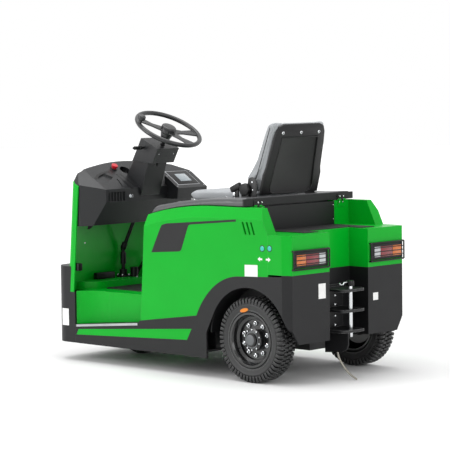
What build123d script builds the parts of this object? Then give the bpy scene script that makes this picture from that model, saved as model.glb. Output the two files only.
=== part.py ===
from build123d import *
import math
import os

# Electric tow tractor, millimetres. Everything is drawn from the rear axle: x runs forward from it,
# y to the driver's left and z up from the floor. The finished pieces are then moved forward or back
# so that the origin lies under the middle of the tractor's length.

# Overall lengths from the rear axle
NOSE_REACH = 1620
TAIL_REACH = 345
REAR_FACE = -297
HALF_WIDTH = 490

# Sheet and running clearances
SHEET = 8
SKIRT_PLATE = 12
RUNNING_GAP = 5
SEAT_GAP = 0.3

# Lower body: black skirts, wheel arches, rear frame and front bumper
SKIRT_LOW = 107
REAR_LOW = 224
PAINT_LINE = 598
ARCH_RADIUS = 285
ARCH_CENTRE_X = 10
ARCH_FRONT = 322
ARCH_TAIL_Z = 373
SKIRT_CREST = 577
HUMP_X = 59
HUMP_MIDDLE = (262, 509)
HUMP_FOOT = (397, 340)
STEP_REAR = 856
STEP_FRONT = 1396
STEP_REAR_Z = 263
STEP_FRONT_Z = 216
BUMPER_TOP = 557
BUMPER_NOTCH_Z = 407
BUMPER_NOTCH_X = 1424
BUMPER_CORNER = 100
BUMPER_BOW = 42

# Upper body: deck, side panels and bulkhead
DECK = 812
RECESS_HALF = 164
RECESS_DEPTH = 137
CORNER_CUT_X = 57
CORNER_CUT_Y = 24
LOWER_CUT_Y = 74
LOWER_CUT_Z = 117
PANEL_THICKNESS = 70
PANEL_INNER = HALF_WIDTH - PANEL_THICKNESS
CROWN = 950
CROWN_FLAT_END = 300
CROWN_DROP = 65
PANEL_FRONT_LOW = 841
PANEL_FRONT_TOP = 800
SHOULDER_DROP = 62
SHOULDER_WIDTH = 31
FIN_TOP_X = -78
FIN_FOOT_X = -142
BULKHEAD_X = 56
JAMB_WIDTH = 126
BULKHEAD_HALF = PANEL_INNER - JAMB_WIDTH
JAMB_DEPTH = 50
MAT_SETBACK = 60
MAT_EDGE = 20
DECK_MAT_T = 4

# Vent slots in the side panels, the first one's upper front corner and the step from one to the next
SLOT_COUNT = 3
SLOT_X = 47
SLOT_PITCH = 31
SLOT_WIDTH = 13
SLOT_SLANT = 24
SLOT_TOP_DROP = 76
SLOT_HEIGHT = 67
SLOT_DEPTH = 20

# Hood with the seat on it
HOOD_RISE = 48
HOOD_TOP = CROWN + HOOD_RISE
HOOD_LAP = 26
HOOD_HALF = PANEL_INNER + HOOD_LAP
HOOD_ROUND = 26
HOOD_SHELL = 10
HOOD_RADIUS = 4000
HOOD_NOSE = 65
BEAM_HALF = HALF_WIDTH - SHOULDER_WIDTH
BEAM_REAR = 56
BEAM_T = 10
HINGE_X = 50
HINGE_RISE = 3
HINGE_Z = CROWN + HINGE_RISE
HINGE_INSET = 58
HINGE_Y = BULKHEAD_HALF + HINGE_INSET
HINGE_R = 5
HINGE_LENGTH = 60
HINGE_LEAF = 4
WELL_DEPTH = 63
WELL_FLOOR = HOOD_TOP - WELL_DEPTH
BATTERY_REAR = 340
BATTERY_FRONT = 770
BATTERY_LOW = 152
BATTERY_DROP = 60
BATTERY_INSET = 25
TRAY_T = 12

# Seat. The profiles' columns are x from the rear axle and height above the seat well's floor
SHELL_HALF = 240
CUSHION_HALF = 225
SEAT_BASE_T = 22
SEAT_BASE_REAR = 230
SEAT_BASE_FRONT = 660
SEAT_BASE_HALF = 190
CUSHION_PROFILE = [(690, 22), (725, 52), (715, 73), (640, 77), (265, 91), (245, 70), (245, 22)]
CUSHION_CORNER = 60
BACK_PROFILE = [(149, 75), (106, 236), (45, 455), (60, 476), (100, 455), (180, 265), (252, 153), (240, 96)]
BACK_TOP = 476
BACK_SHOULDER = 85
SHELL_PROFILE = [(151.7, 65), (106, 236), (43.3, 461)]
SHELL_T = 18
SHELL_INNER_HALF = 165
SHELL_INNER_LOW = 90
SHELL_INNER_HIGH = 372
SHELL_INNER_ROUND = 70
SHELL_INNER_DEPTH = 4
BRACKET_PROFILE = [(128, 0), (320, 0), (320, 35), (215, 125), (190, 169), (170, 169), (150, 135)]
BRACKET_T = 6.7
WELL_HALF = 300
WELL_REAR = 125
WELL_FRONT = 700

# Front shield, dash and floor
SHIELD_TOP_X = 1354
SHIELD_CENTRE_X = 1500
SHIELD_CORNER_X = 1413
SHIELD_TOP_Z = 1030
SHIELD_TOP_SLOPE = 0.95
SHIELD_LEAN = 4.8
SHIELD_ROUND = 50
FLOOR = 412
PLATFORM_TOP = 455
PLATFORM_REAR = 1366
PLATFORM_ROUND = 150
MAT_T = 6
SILL_INSET = 98
SILL_Y = HALF_WIDTH - SILL_INSET
SILL_FLARE = 200
SILL_FLARE_BEND = 28
MAT_INSET = 122
MAT_HALF = SILL_Y - MAT_INSET
DASH_REAR = 1258
DASH_INSET = 135
DASH_HALF = HALF_WIDTH - DASH_INSET
DASH_SIDE_X = 1405
DASH_TOP_Z = 1008
DASH_SLOPE = 33.4
DASH_FACE = 77
DASH_KNEE_Z = DASH_TOP_Z - DASH_FACE
DASH_LOW_X = 1306
DASH_DEPTH = 211
DASH_LOW_Z = DASH_TOP_Z - DASH_DEPTH

# Recesses in the dash's sloping top: corners as x and y
TRAY_CORNERS = [(1358, 340), (1395, 248), (1357, 203), (1302, 296)]
TRAY_DEPTH = 12
PEN_SLOTS = [((1339, 188), (1270, 204)), ((1348, 150), (1270, 158))]
PEN_WIDTH = 10
PEN_DEPTH = 8
CUP_X = 1408
CUP_Y = 52
CUP_R = 38
CUP_DEPTH = 50

# Slatted pocket in the dash's rear face
POCKET_LEFT = 338
POCKET_RIGHT = 201
POCKET_HEIGHT = 55
POCKET_TOP_DROP = 18
POCKET_DEPTH = 10
POCKET_RIBS = 5
RIB_T = 6

# Steering
WHEEL_CENTRE = (1088.6, 0, 1355)
COLUMN_TILT = 29
WHEEL_RADIUS = 195.6
WHEEL_TUBE = 14
COLUMN_HALF = 90
COVER_HALF = 78
SHAFT_R = 11
JOINT_BALL = 14
JOINT_DROP = 837
KNOB_ANGLE = 20
KNOB_STEM_R = 12
KNOB_R = 24
KNOB_RISE = 28
KNOB_HEIGHT = 34
FLANGE_TOP = 500
FLANGE_R = 42
POD_REAR = 1164
POD_REAR_Z = DASH_TOP_Z - 12
POD_FRONT = 1363
POD_DEPTH = 66
POD_LEFT = -150
POD_RIGHT = -400
BUTTON_X = 1427
BUTTON_Y = 132
BUTTON_R = 20
BUTTON_T = 14
POD_PLAN = [(1164, -150), (1278, -150), (1363, -300), (1307, -400), (1164, -400)]

# Running gear
TYRE_R = 233
TYRE_W = 122
TYRE_INSET = 4
TYRE_OUTER_Y = HALF_WIDTH - TYRE_INSET
ARCH_GAP = 24
ARCH_INNER = TYRE_OUTER_Y - TYRE_W - ARCH_GAP
RIM_R = 146
HUB_R = 62
AXLE_TUBE_R = 55
STUB_R = 25
LUG_COUNT = 56
FRONT_LUG_COUNT = 46
LUG_DEPTH = 19
LUG_REACH = 32
GROOVE = 10
BEAD_HALF_SHARE = 45 / 61

# Rear rim, from its bore outwards and round the outer face: radius and distance out from the tyre's middle
RIM_SECTION = [
    (62, -40), (62, -4), (108, -4), (136, 12), (136, -50), (146, -50), (146, 45.5), (151, 52.5), (151, 57), (139, 57),
    (133, 46), (126, 28), (112, 20), (108, 6), (62, 6), (62, 36), (50, 42), (36, 42), (36, 52), (30, 56),
]
FRONT_X = 1330
FRONT_TYRE_R = 189
FRONT_TYRE_W = 114
FRONT_RIM_R = 104
FRONT_PIN_R = 20
FORK_INNER = 72
FORK_PLATE = 14
FORK_CROWN_LOW = 385
FORK_CROWN_TOP = 397
TURNTABLE_R = 95

# Hitch
STRAP_R = 5
STRAP_PLATE_Y = 60
STRAP_PLATE_T = 8
STRAP_ROUTE = [
    (-252, 50, 172), (-252, 50, 142), (-262, 48, 109), (-283, 44, 75), (-312, 42, 43), (-347, 43, 19), (-386, 48, 6),
]
PIN_X = -305
PIN_R = 12.5
PIN_LOW = 227
JAW_HEIGHTS = (263, 375, 487)
JAW_PLATE = 14
JAW_HALF = 95
JAW_REAR = -345
PIN_HEAD = 48
HANDLE_R = 4
HANDLE_END_Y = 88
HANDLE_Z = 531

# Lamps
LAMP_INNER_Y = 182
LAMP_OUTER_INSET = 30
LAMP_LOW = 634
LAMP_HIGH = 722
LAMP_DEPTH = 18
LAMP_ROUND = 14
GUARD_MARGIN = 12
GUARD_WIRE = 8
GUARD_REACH = 30
GUARD_BARS = (655, 678, 701)
HEADLAMP_Y = 300
HEADLAMP_Z = 820
HEADLAMP_R = 60

SHIFT = (TAIL_REACH - NOSE_REACH) / 2
PIECES = {}


def keep(name, shape):
    """Puts a finished piece on the list, moved to the tractor's own origin."""
    PIECES[name] = shape.moved(Location((SHIFT, 0, 0)))


def face_of(*edges):
    """Makes one face from edges that meet end to end."""
    return make_face(Wire.combine([e for edge in edges for e in edge.edges()])[0])


def polygon(points):
    """Makes a face with straight sides."""
    return make_face(Polyline(*points, close=True))


def profile(points, base_z):
    """Makes a side face from points whose heights count from a base."""
    return polygon([(x, base_z + z) for x, z in points])


def side_slab(face, low_y, high_y):
    """Gives a face drawn in x and z its thickness across the tractor."""
    return extrude(Plane.XZ.offset(-high_y) * face, amount=high_y - low_y)


def plan_slab(face, low_z, high_z):
    """Gives a face drawn in x and y its height."""
    return extrude(Plane.XY.offset(low_z) * face, amount=high_z - low_z)


def block(x0, x1, y0, y1, z0, z1):
    """Makes a box between two corners."""
    middle = ((x0 + x1) / 2, (y0 + y1) / 2, (z0 + z1) / 2)
    return Pos(*middle) * Box(x1 - x0, y1 - y0, z1 - z0)


def across(radius, y0, y1, x, z):
    """Makes a round bar that runs across the tractor."""
    return Pos(x, (y0 + y1) / 2, z) * Rot(90, 0, 0) * Cylinder(radius, abs(y1 - y0))


def upright(radius, z0, z1, x, y):
    """Makes a round bar that stands up."""
    return Pos(x, y, (z0 + z1) / 2) * Cylinder(radius, z1 - z0)


def other_side(shape):
    """Mirrors a piece to the tractor's right."""
    return mirror(shape, about=Plane.XZ)


def keep_pair(name, left):
    """Keeps a left piece and its mirror image."""
    keep(name + "_left", left)
    keep(name + "_right", other_side(left))


def keep_both(name, left):
    """Keeps a left piece and its mirror image as one node of two solids."""
    keep(name, left + other_side(left))


# Lower body

def arch_edges():
    """The wheel arch from its front foot, over the tyre, to the rear face."""
    def on_arch(angle):
        turn = math.radians(angle)
        return (ARCH_CENTRE_X + ARCH_RADIUS * math.cos(turn), TYRE_R + ARCH_RADIUS * math.sin(turn))

    front = on_arch(28)
    back = on_arch(142)
    crest = (ARCH_CENTRE_X, TYRE_R + ARCH_RADIUS)
    legs = Polyline((ARCH_FRONT, SKIRT_LOW), (ARCH_FRONT, TYRE_R + 20), front)
    tail = Line(back, (REAR_FACE + CORNER_CUT_X, ARCH_TAIL_Z))
    return [legs, ThreePointArc(front, crest, back), tail]


def paint_line_edges():
    """The line between the black skirt and the green panel, from the rear to the step."""
    crest = (HUMP_X, SKIRT_CREST)
    brow = TangentArc(crest, HUMP_MIDDLE, tangent=(1, 0))
    return [
        Line((REAR_FACE + CORNER_CUT_X, PAINT_LINE - 8), crest),
        brow,
        TangentArc(HUMP_MIDDLE, HUMP_FOOT, tangent=brow % 1),
        Line(HUMP_FOOT, (STEP_REAR, STEP_REAR_Z + 14)),
    ]


def make_skirts():
    low = Polyline(
        (STEP_REAR, STEP_REAR_Z + 14),
        (STEP_REAR, STEP_REAR_Z),
        (STEP_FRONT, STEP_FRONT_Z),
        (STEP_FRONT, SKIRT_LOW),
        (ARCH_FRONT, SKIRT_LOW),
    )
    tail_x = REAR_FACE + CORNER_CUT_X
    rear = Line((tail_x, ARCH_TAIL_Z), (tail_x, PAINT_LINE - 8))
    plate = side_slab(
        face_of(*arch_edges(), rear, *paint_line_edges(), low),
        HALF_WIDTH - SKIRT_PLATE,
        HALF_WIDTH,
    )
    ledge = polygon([
        (STEP_REAR, STEP_REAR_Z),
        (STEP_FRONT, STEP_FRONT_Z),
        (STEP_FRONT, STEP_FRONT_Z - SHEET),
        (STEP_REAR, STEP_REAR_Z - SHEET),
    ])
    plate += side_slab(ledge, SILL_Y - SHEET, HALF_WIDTH - SKIRT_PLATE)
    keep_pair("side_skirt", plate)


def make_wheel_arches():
    radius = ARCH_RADIUS
    sheet = 5
    ring = Pos(ARCH_CENTRE_X, TYRE_R) * (Circle(radius + sheet) - Circle(radius))
    upper = Pos(ARCH_CENTRE_X, TYRE_R + 20 + radius) * Rectangle(4 * radius, 2 * radius)
    liner = side_slab(ring & upper, ARCH_INNER, HALF_WIDTH - SKIRT_PLATE)
    wall = polygon([
        (REAR_FACE + RECESS_DEPTH, REAR_LOW),
        (ARCH_CENTRE_X + radius + sheet, REAR_LOW - 60),
        (ARCH_CENTRE_X + radius + sheet, SKIRT_CREST - 20),
        (REAR_FACE + RECESS_DEPTH, SKIRT_CREST - 20),
    ])
    liner += side_slab(wall, ARCH_INNER - SHEET, ARCH_INNER)
    liner -= across(AXLE_TUBE_R + SEAT_GAP, 0, HALF_WIDTH, 0, TYRE_R)
    liner -= block(REAR_FACE, REAR_FACE + CORNER_CUT_X, 0, HALF_WIDTH, 0, PAINT_LINE)
    keep_pair("wheel_arch", liner)


def tail_outline(inset):
    """Plan of the tail with its hitch recess and cut corners, drawn inset from the outer face."""
    half = HALF_WIDTH - inset
    rear = REAR_FACE + inset
    cut = inset * 0.4
    return [
        (FIN_FOOT_X, half),
        (REAR_FACE + CORNER_CUT_X + cut, half),
        (rear, HALF_WIDTH - CORNER_CUT_Y - inset + cut),
        (rear, RECESS_HALF + inset),
        (REAR_FACE + RECESS_DEPTH + inset, RECESS_HALF + inset),
    ]


def tail_shell(low_z, high_z, thickness):
    """A wall that follows the tail's plan, open towards the front."""
    outer = tail_outline(0)
    inner = tail_outline(thickness)
    right_outer = [(x, -y) for x, y in reversed(outer)]
    right_inner = [(x, -y) for x, y in inner]
    plan = polygon(outer + right_outer + right_inner + list(reversed(inner)))
    return plan_slab(plan, low_z, high_z)


def make_rear_frame():
    frame = tail_shell(REAR_LOW, PAINT_LINE, SKIRT_PLATE)
    frame -= block(REAR_FACE + CORNER_CUT_X, 0, -600, 600, 0, 1000) - block(
        REAR_FACE + CORNER_CUT_X, 0, -400, 400, 0, 1000
    )
    corner = Plane.YZ.offset(REAR_FACE - 50) * polygon([
        (HALF_WIDTH + 1, REAR_LOW + LOWER_CUT_Z),
        (HALF_WIDTH - LOWER_CUT_Y, REAR_LOW - 1),
        (HALF_WIDTH + 1, REAR_LOW - 1),
    ])
    wedge = extrude(corner, amount=200)
    frame -= wedge + other_side(wedge)
    arch = across(ARCH_RADIUS, ARCH_INNER, HALF_WIDTH + 1, ARCH_CENTRE_X, TYRE_R)
    keep("rear_frame", frame - arch - other_side(arch))


def make_bumper():
    front_x = NOSE_REACH - BUMPER_BOW

    def ring(inset):
        side = HALF_WIDTH - inset
        corner = BUMPER_CORNER - inset
        middle_x = front_x - BUMPER_CORNER
        turn = math.sqrt(0.5) * corner
        return face_of(
            Line((STEP_FRONT, -side), (STEP_FRONT, side)),
            Line((STEP_FRONT, side), (middle_x, side)),
            ThreePointArc(
                (middle_x, side),
                (middle_x + turn, side - corner + turn),
                (middle_x + corner, side - corner),
            ),
            ThreePointArc(
                (middle_x + corner, side - corner),
                (NOSE_REACH - inset, 0),
                (middle_x + corner, corner - side),
            ),
            ThreePointArc(
                (middle_x + corner, corner - side),
                (middle_x + turn, corner - side - turn),
                (middle_x, -side),
            ),
            Line((middle_x, -side), (STEP_FRONT, -side)),
        )

    outer = ring(0)
    shell = plan_slab(outer, SKIRT_LOW, BUMPER_TOP) - plan_slab(
        ring(SKIRT_PLATE), SKIRT_LOW - 1, BUMPER_TOP - SHEET
    )
    shell -= block(STEP_FRONT - 1, STEP_FRONT + 1, -470, 470, 0, 1000)
    shell -= block(0, BUMPER_NOTCH_X, -600, 600, BUMPER_NOTCH_Z, BUMPER_TOP + 1)
    shell -= shield_solid(-SEAT_GAP)
    inner_side = HALF_WIDTH - SKIRT_PLATE
    shell -= block(STEP_FRONT - 5, STEP_FRONT + 60, -inner_side, inner_side, 0, BUMPER_TOP + 1)
    keep("front_bumper", shell)


# Front shield

def shield_plan(inset, back):
    """Plan of the shield at its upper rear corner, closed at the back."""
    side = HALF_WIDTH - inset
    front = SHIELD_CENTRE_X - inset
    corner_x = SHIELD_CORNER_X - inset * 0.9
    plan = face_of(
        Line((back, -side), (back, side)),
        Line((back, side), (corner_x, side)),
        ThreePointArc((corner_x, side), (front, 0), (corner_x, -side)),
        Line((corner_x, -side), (back, -side)),
    )
    corners = [v for v in plan.vertices() if v.X > back + 1]
    return fillet(corners, SHIELD_ROUND - inset)


def shield_solid(inset, back=SHIELD_TOP_X):
    """The space inside the shield's skin, leaning forward as it goes down."""
    height = 900
    lean = math.tan(math.radians(SHIELD_LEAN))
    foot_z = BUMPER_NOTCH_Z
    foot_x = (SHIELD_TOP_Z - foot_z) * lean
    start = Plane(origin=(foot_x, 0, foot_z)) * shield_plan(inset, back)
    return extrude(start, amount=height, dir=(-lean, 0, 1))


def under_shield_top(extra):
    """Everything below the shield's sloping top edge."""
    far = 400
    rise = SHIELD_TOP_SLOPE * far
    outline = polygon([
        (SHIELD_TOP_X - far, SHIELD_TOP_Z - rise + extra),
        (SHIELD_TOP_X + far, SHIELD_TOP_Z + rise + extra),
        (SHIELD_TOP_X + far, 0),
        (SHIELD_TOP_X - far, 0),
    ])
    return side_slab(outline, -2 * HALF_WIDTH, 2 * HALF_WIDTH)


def make_shield():
    skin = (shield_solid(0) - shield_solid(SHEET)) & under_shield_top(0)
    lean = math.tan(math.radians(SHIELD_LEAN))
    back = Plane(origin=((SHIELD_TOP_Z - BUMPER_NOTCH_Z) * lean, 0, BUMPER_NOTCH_Z)) * polygon([
        (SHIELD_TOP_X - 20, -470), (SHIELD_TOP_X + SHEET + 1, -470),
        (SHIELD_TOP_X + SHEET + 1, 470), (SHIELD_TOP_X - 20, 470),
    ])
    skin -= extrude(back, amount=900, dir=(-lean, 0, 1))
    keep("front_shield", skin)


# Floor, sills and platform

def sill_flare(inset):
    """Plan of the left sill's flare in front, where it runs out to the bumper."""
    side = HALF_WIDTH - SKIRT_PLATE - SEAT_GAP - inset
    start = (STEP_FRONT - SILL_FLARE, SILL_Y - inset)
    middle = (STEP_FRONT - SILL_FLARE / 3, SILL_Y + SILL_FLARE_BEND - inset)
    return face_of(
        ThreePointArc(start, middle, (STEP_FRONT, side)),
        Polyline((STEP_FRONT, side), (STEP_FRONT, SILL_Y - SHEET - 1), (STEP_FRONT - SILL_FLARE, SILL_Y - SHEET - 1), start),
    )


def make_floor():
    inside = shield_solid(SHEET + SEAT_GAP, BULKHEAD_X)
    pan = block(PANEL_FRONT_LOW, SHIELD_CENTRE_X, -SILL_Y, SILL_Y, FLOOR - SHEET, FLOOR)
    side = polygon([
        (PANEL_FRONT_LOW, FLOOR),
        (STEP_FRONT, FLOOR),
        (STEP_FRONT, STEP_FRONT_Z),
        (STEP_REAR, STEP_REAR_Z),
        (PANEL_FRONT_LOW, STEP_REAR_Z),
    ])
    straight = side_slab(side, SILL_Y - SHEET, SILL_Y)
    straight -= block(STEP_FRONT - SILL_FLARE, STEP_FRONT + 1, 0, HALF_WIDTH, 0, FLOOR - SHEET)
    flare = plan_slab(sill_flare(0), STEP_FRONT_Z, FLOOR)
    flare -= plan_slab(sill_flare(SHEET), 0, FLOOR - SHEET)
    flare &= side_slab(side, 0, HALF_WIDTH)
    sill = straight + flare
    pan -= shield_solid(-SEAT_GAP) - inside
    keep("floor_pan", pan + sill + other_side(sill))
    platform = block(PLATFORM_REAR, NOSE_REACH, -SILL_Y, SILL_Y, FLOOR, PLATFORM_TOP)
    rear = [e for e in platform.edges().filter_by(Axis.Z) if e.center().X < PLATFORM_REAR + 1]
    platform = fillet(rear, PLATFORM_ROUND) & inside
    keep("front_platform", platform)
    mat = block(PANEL_FRONT_LOW + 10, PLATFORM_REAR - 8, -MAT_HALF, MAT_HALF, FLOOR, FLOOR + MAT_T)
    keep("floor_mat", mat)


# Tail body, side panels, bulkhead

def make_tail_body():
    body = tail_shell(PAINT_LINE, DECK, SHEET)
    outer = tail_outline(0)
    plan = polygon(outer + [(x, -y) for x, y in reversed(outer)])
    body += plan_slab(plan, DECK - SHEET, DECK)
    body += block(FIN_FOOT_X, BULKHEAD_X, -PANEL_INNER, PANEL_INNER, DECK - SHEET, DECK)
    keep("tail_body", body)
    mat = block(REAR_FACE + MAT_SETBACK, BULKHEAD_X - 6, -BULKHEAD_HALF, BULKHEAD_HALF, DECK, DECK + DECK_MAT_T)
    notch_half = RECESS_HALF + MAT_EDGE
    mat -= block(REAR_FACE, REAR_FACE + RECESS_DEPTH + MAT_EDGE, -notch_half, notch_half, DECK, CROWN)
    keep("deck_mat", mat)


def crown_arc(offset):
    """Top edge of the side panel from level to its front corner."""
    radius = ((PANEL_FRONT_TOP - CROWN_FLAT_END) ** 2 + CROWN_DROP**2) / (2 * CROWN_DROP)
    start = (CROWN_FLAT_END, CROWN + offset)
    end = (PANEL_FRONT_TOP, CROWN - CROWN_DROP + offset)
    middle_x = (CROWN_FLAT_END + PANEL_FRONT_TOP) / 2
    sag = radius - math.sqrt(radius**2 - (middle_x - CROWN_FLAT_END) ** 2)
    return ThreePointArc(start, (middle_x, CROWN - sag + offset), end)


def vent_slots():
    """The slanted slots that are cut into the side panel."""
    top = CROWN - SLOT_TOP_DROP
    low = top - SLOT_HEIGHT
    slots = []
    for number in range(SLOT_COUNT):
        front = SLOT_X - number * SLOT_PITCH
        slot = polygon([
            (front, top), (front - SLOT_WIDTH, top),
            (front - SLOT_WIDTH - SLOT_SLANT, low), (front - SLOT_SLANT, low),
        ])
        slots.append(side_slab(slot, HALF_WIDTH - SLOT_DEPTH, HALF_WIDTH + 1))
    return slots


def make_side_panels():
    outline = face_of(
        Line((PANEL_FRONT_LOW, STEP_REAR_Z + 17), (PANEL_FRONT_TOP, CROWN - CROWN_DROP)),
        crown_arc(0),
        Polyline(
            (CROWN_FLAT_END, CROWN),
            (FIN_TOP_X, CROWN),
            (FIN_FOOT_X, DECK),
            (FIN_FOOT_X, PAINT_LINE - 12),
            (HUMP_X, SKIRT_CREST),
        ),
        *paint_line_edges()[1:3],
        Line(HUMP_FOOT, (PANEL_FRONT_LOW, STEP_REAR_Z + 17)),
    )
    panel = side_slab(outline, PANEL_INNER, HALF_WIDTH)
    edges = [
        e for e in panel.edges()
        if e.bounding_box().min.Y > HALF_WIDTH - 0.1
        and e.bounding_box().min.Z > CROWN - CROWN_DROP - 1
        and e.bounding_box().max.X > FIN_TOP_X + 1
        and e.length > 100
    ]
    outer = panel.faces().sort_by(Axis.Y)[-1]
    panel = chamfer(edges, length=SHOULDER_DROP, length2=SHOULDER_WIDTH, reference=outer)
    keep_pair("side_panel", panel - vent_slots())


def make_bulkhead():
    panel = block(BULKHEAD_X, BULKHEAD_X + SHEET, -BULKHEAD_HALF, BULKHEAD_HALF, DECK - 12, CROWN - 4)
    keep("bulkhead_panel", panel)
    jamb = block(BULKHEAD_X, BULKHEAD_X + JAMB_DEPTH, BULKHEAD_HALF, PANEL_INNER, DECK - 12, CROWN)
    keep_both("bulkhead_jambs", jamb + hinge_leaf())
    front = side_slab(
        polygon([
            (PANEL_FRONT_LOW, STEP_REAR_Z),
            (PANEL_FRONT_TOP, CROWN - CROWN_DROP),
            (PANEL_FRONT_TOP - SHEET, CROWN - CROWN_DROP),
            (PANEL_FRONT_LOW - SHEET, STEP_REAR_Z),
        ]),
        -PANEL_INNER,
        PANEL_INNER,
    )
    keep("battery_front_wall", front)
    tray_half = HALF_WIDTH - SKIRT_PLATE
    keep("battery_tray", block(ARCH_FRONT, PANEL_FRONT_LOW, -tray_half, tray_half, BATTERY_LOW - TRAY_T, BATTERY_LOW))
    half = PANEL_INNER - BATTERY_INSET
    keep("battery", block(BATTERY_REAR, BATTERY_FRONT, -half, half, BATTERY_LOW, CROWN - BATTERY_DROP))


# Hood and seat

def hood_sag(x):
    """How far the hood's top has dropped at a place along it."""
    return HOOD_RADIUS - math.sqrt(HOOD_RADIUS**2 - (x - BEAM_REAR) ** 2)


def make_hood():
    rear_x = BEAM_REAR + BEAM_T
    low = CROWN + RUNNING_GAP
    nose_x = PANEL_FRONT_TOP - HOOD_NOSE
    middle_x = (rear_x + nose_x) / 2
    rear_top = (rear_x, HOOD_TOP)
    nose_top = (nose_x, HOOD_TOP - hood_sag(nose_x))
    front_low = (PANEL_FRONT_TOP, low - CROWN_DROP)
    outline = face_of(
        ThreePointArc(rear_top, (middle_x, HOOD_TOP - hood_sag(middle_x)), nose_top),
        TangentArc(nose_top, front_low, tangent=(1, -(nose_x - BEAM_REAR) / HOOD_RADIUS)),
        crown_arc(RUNNING_GAP),
        Polyline((CROWN_FLAT_END, low), (rear_x, low), rear_top),
    )
    hood = side_slab(outline, -HOOD_HALF, HOOD_HALF)
    edges = [
        e for e in hood.edges()
        if abs(abs(e.center().Y) - HOOD_HALF) < 1
        and e.bounding_box().size.X > 40
        and e.center().Z > HOOD_TOP - hood_sag(e.center().X) - 40
        and e.center().Z > low + 5 - (0 if e.center().X < 700 else 60)
    ]
    hood = fillet(edges, HOOD_ROUND)
    wall = HOOD_SHELL
    hood += block(WELL_REAR - wall, WELL_FRONT + wall, -WELL_HALF - wall, WELL_HALF + wall, WELL_FLOOR - wall, low)
    hood -= block(WELL_REAR, WELL_FRONT, -WELL_HALF, WELL_HALF, WELL_FLOOR, HOOD_TOP + 1)
    keep("hood_cover", hood)
    beam = block(BEAM_REAR, rear_x, -BEAM_HALF, BEAM_HALF, low, HOOD_TOP - 4)
    for y in (-HINGE_Y, HINGE_Y):
        span = HINGE_LENGTH / 6
        beam += block(BEAM_REAR - HINGE_LEAF, BEAM_REAR, y - HINGE_LENGTH / 2, y + HINGE_LENGTH / 2, low + 3, low + 30)
        beam += across(HINGE_R, y - span, y + span, HINGE_X, HINGE_Z)
        beam += block(HINGE_X, BEAM_REAR, y - span, y + span, HINGE_Z - 1, low + 5)
    keep("hood_beam", beam)


def hinge_leaf():
    """The fixed half of the left hood hinge, on the rear face of the jamb."""
    leaf = block(
        BULKHEAD_X - HINGE_LEAF, BULKHEAD_X,
        HINGE_Y - HINGE_LENGTH / 2, HINGE_Y + HINGE_LENGTH / 2,
        HINGE_Z - 40, HINGE_Z - HINGE_R - 2,
    )
    span = HINGE_LENGTH / 6 + SEAT_GAP
    for low_y, high_y in ((-HINGE_LENGTH / 2, -span), (span, HINGE_LENGTH / 2)):
        leaf += across(HINGE_R, HINGE_Y + low_y, HINGE_Y + high_y, HINGE_X, HINGE_Z)
        leaf += block(
            HINGE_X, BULKHEAD_X - 0.5, HINGE_Y + low_y, HINGE_Y + high_y, HINGE_Z - HINGE_R - 4, HINGE_Z - 3,
        )
    return leaf


def rounded_back(half, low, high, radius):
    """A slab across the seat with round upper corners, as seen from behind."""
    outline = Pos(0, (low + high) / 2) * Rectangle(2 * half, high - low)
    outline = fillet(outline.vertices().sort_by(Axis.Y)[-2:], radius)
    return extrude(Plane.YZ * outline, amount=WELL_FRONT)


def make_seat():
    floor = WELL_FLOOR
    base = block(
        SEAT_BASE_REAR, SEAT_BASE_FRONT, -SEAT_BASE_HALF, SEAT_BASE_HALF, floor, floor + SEAT_BASE_T,
    )
    keep("seat_base", base)
    cushion = side_slab(profile(CUSHION_PROFILE, floor + SEAT_GAP), -CUSHION_HALF, CUSHION_HALF)
    cushion = fillet(cushion.edges().filter_by(Axis.Z), CUSHION_CORNER)
    keep("seat_cushion", cushion)
    top = floor + BACK_TOP + 1
    back = side_slab(profile(BACK_PROFILE, floor), -CUSHION_HALF, CUSHION_HALF)
    keep("seat_back", back & rounded_back(CUSHION_HALF, floor, top, BACK_SHOULDER))
    front = [(x - SEAT_GAP, z) for x, z in SHELL_PROFILE]
    behind = [(x - SHELL_T, z) for x, z in reversed(front)]
    shell = side_slab(profile(front + behind, floor), -SHELL_HALF, SHELL_HALF)
    shell &= rounded_back(SHELL_HALF, floor, floor + SHELL_PROFILE[-1][1], BACK_SHOULDER)
    inner = Pos(0, floor + (SHELL_INNER_LOW + SHELL_INNER_HIGH) / 2) * RectangleRounded(
        2 * SHELL_INNER_HALF, SHELL_INNER_HIGH - SHELL_INNER_LOW, SHELL_INNER_ROUND
    )
    recess = extrude(Plane.YZ * inner, amount=WELL_FRONT) & shell.moved(Location((SHELL_INNER_DEPTH - SHELL_T, 0, 0)))
    keep("seat_shell", shell - recess)
    plate = profile(BRACKET_PROFILE, floor)
    inner_y = SHELL_HALF + SEAT_GAP
    keep_both("seat_brackets", side_slab(plate, inner_y, inner_y + BRACKET_T))


# Dash and steering column

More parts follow.
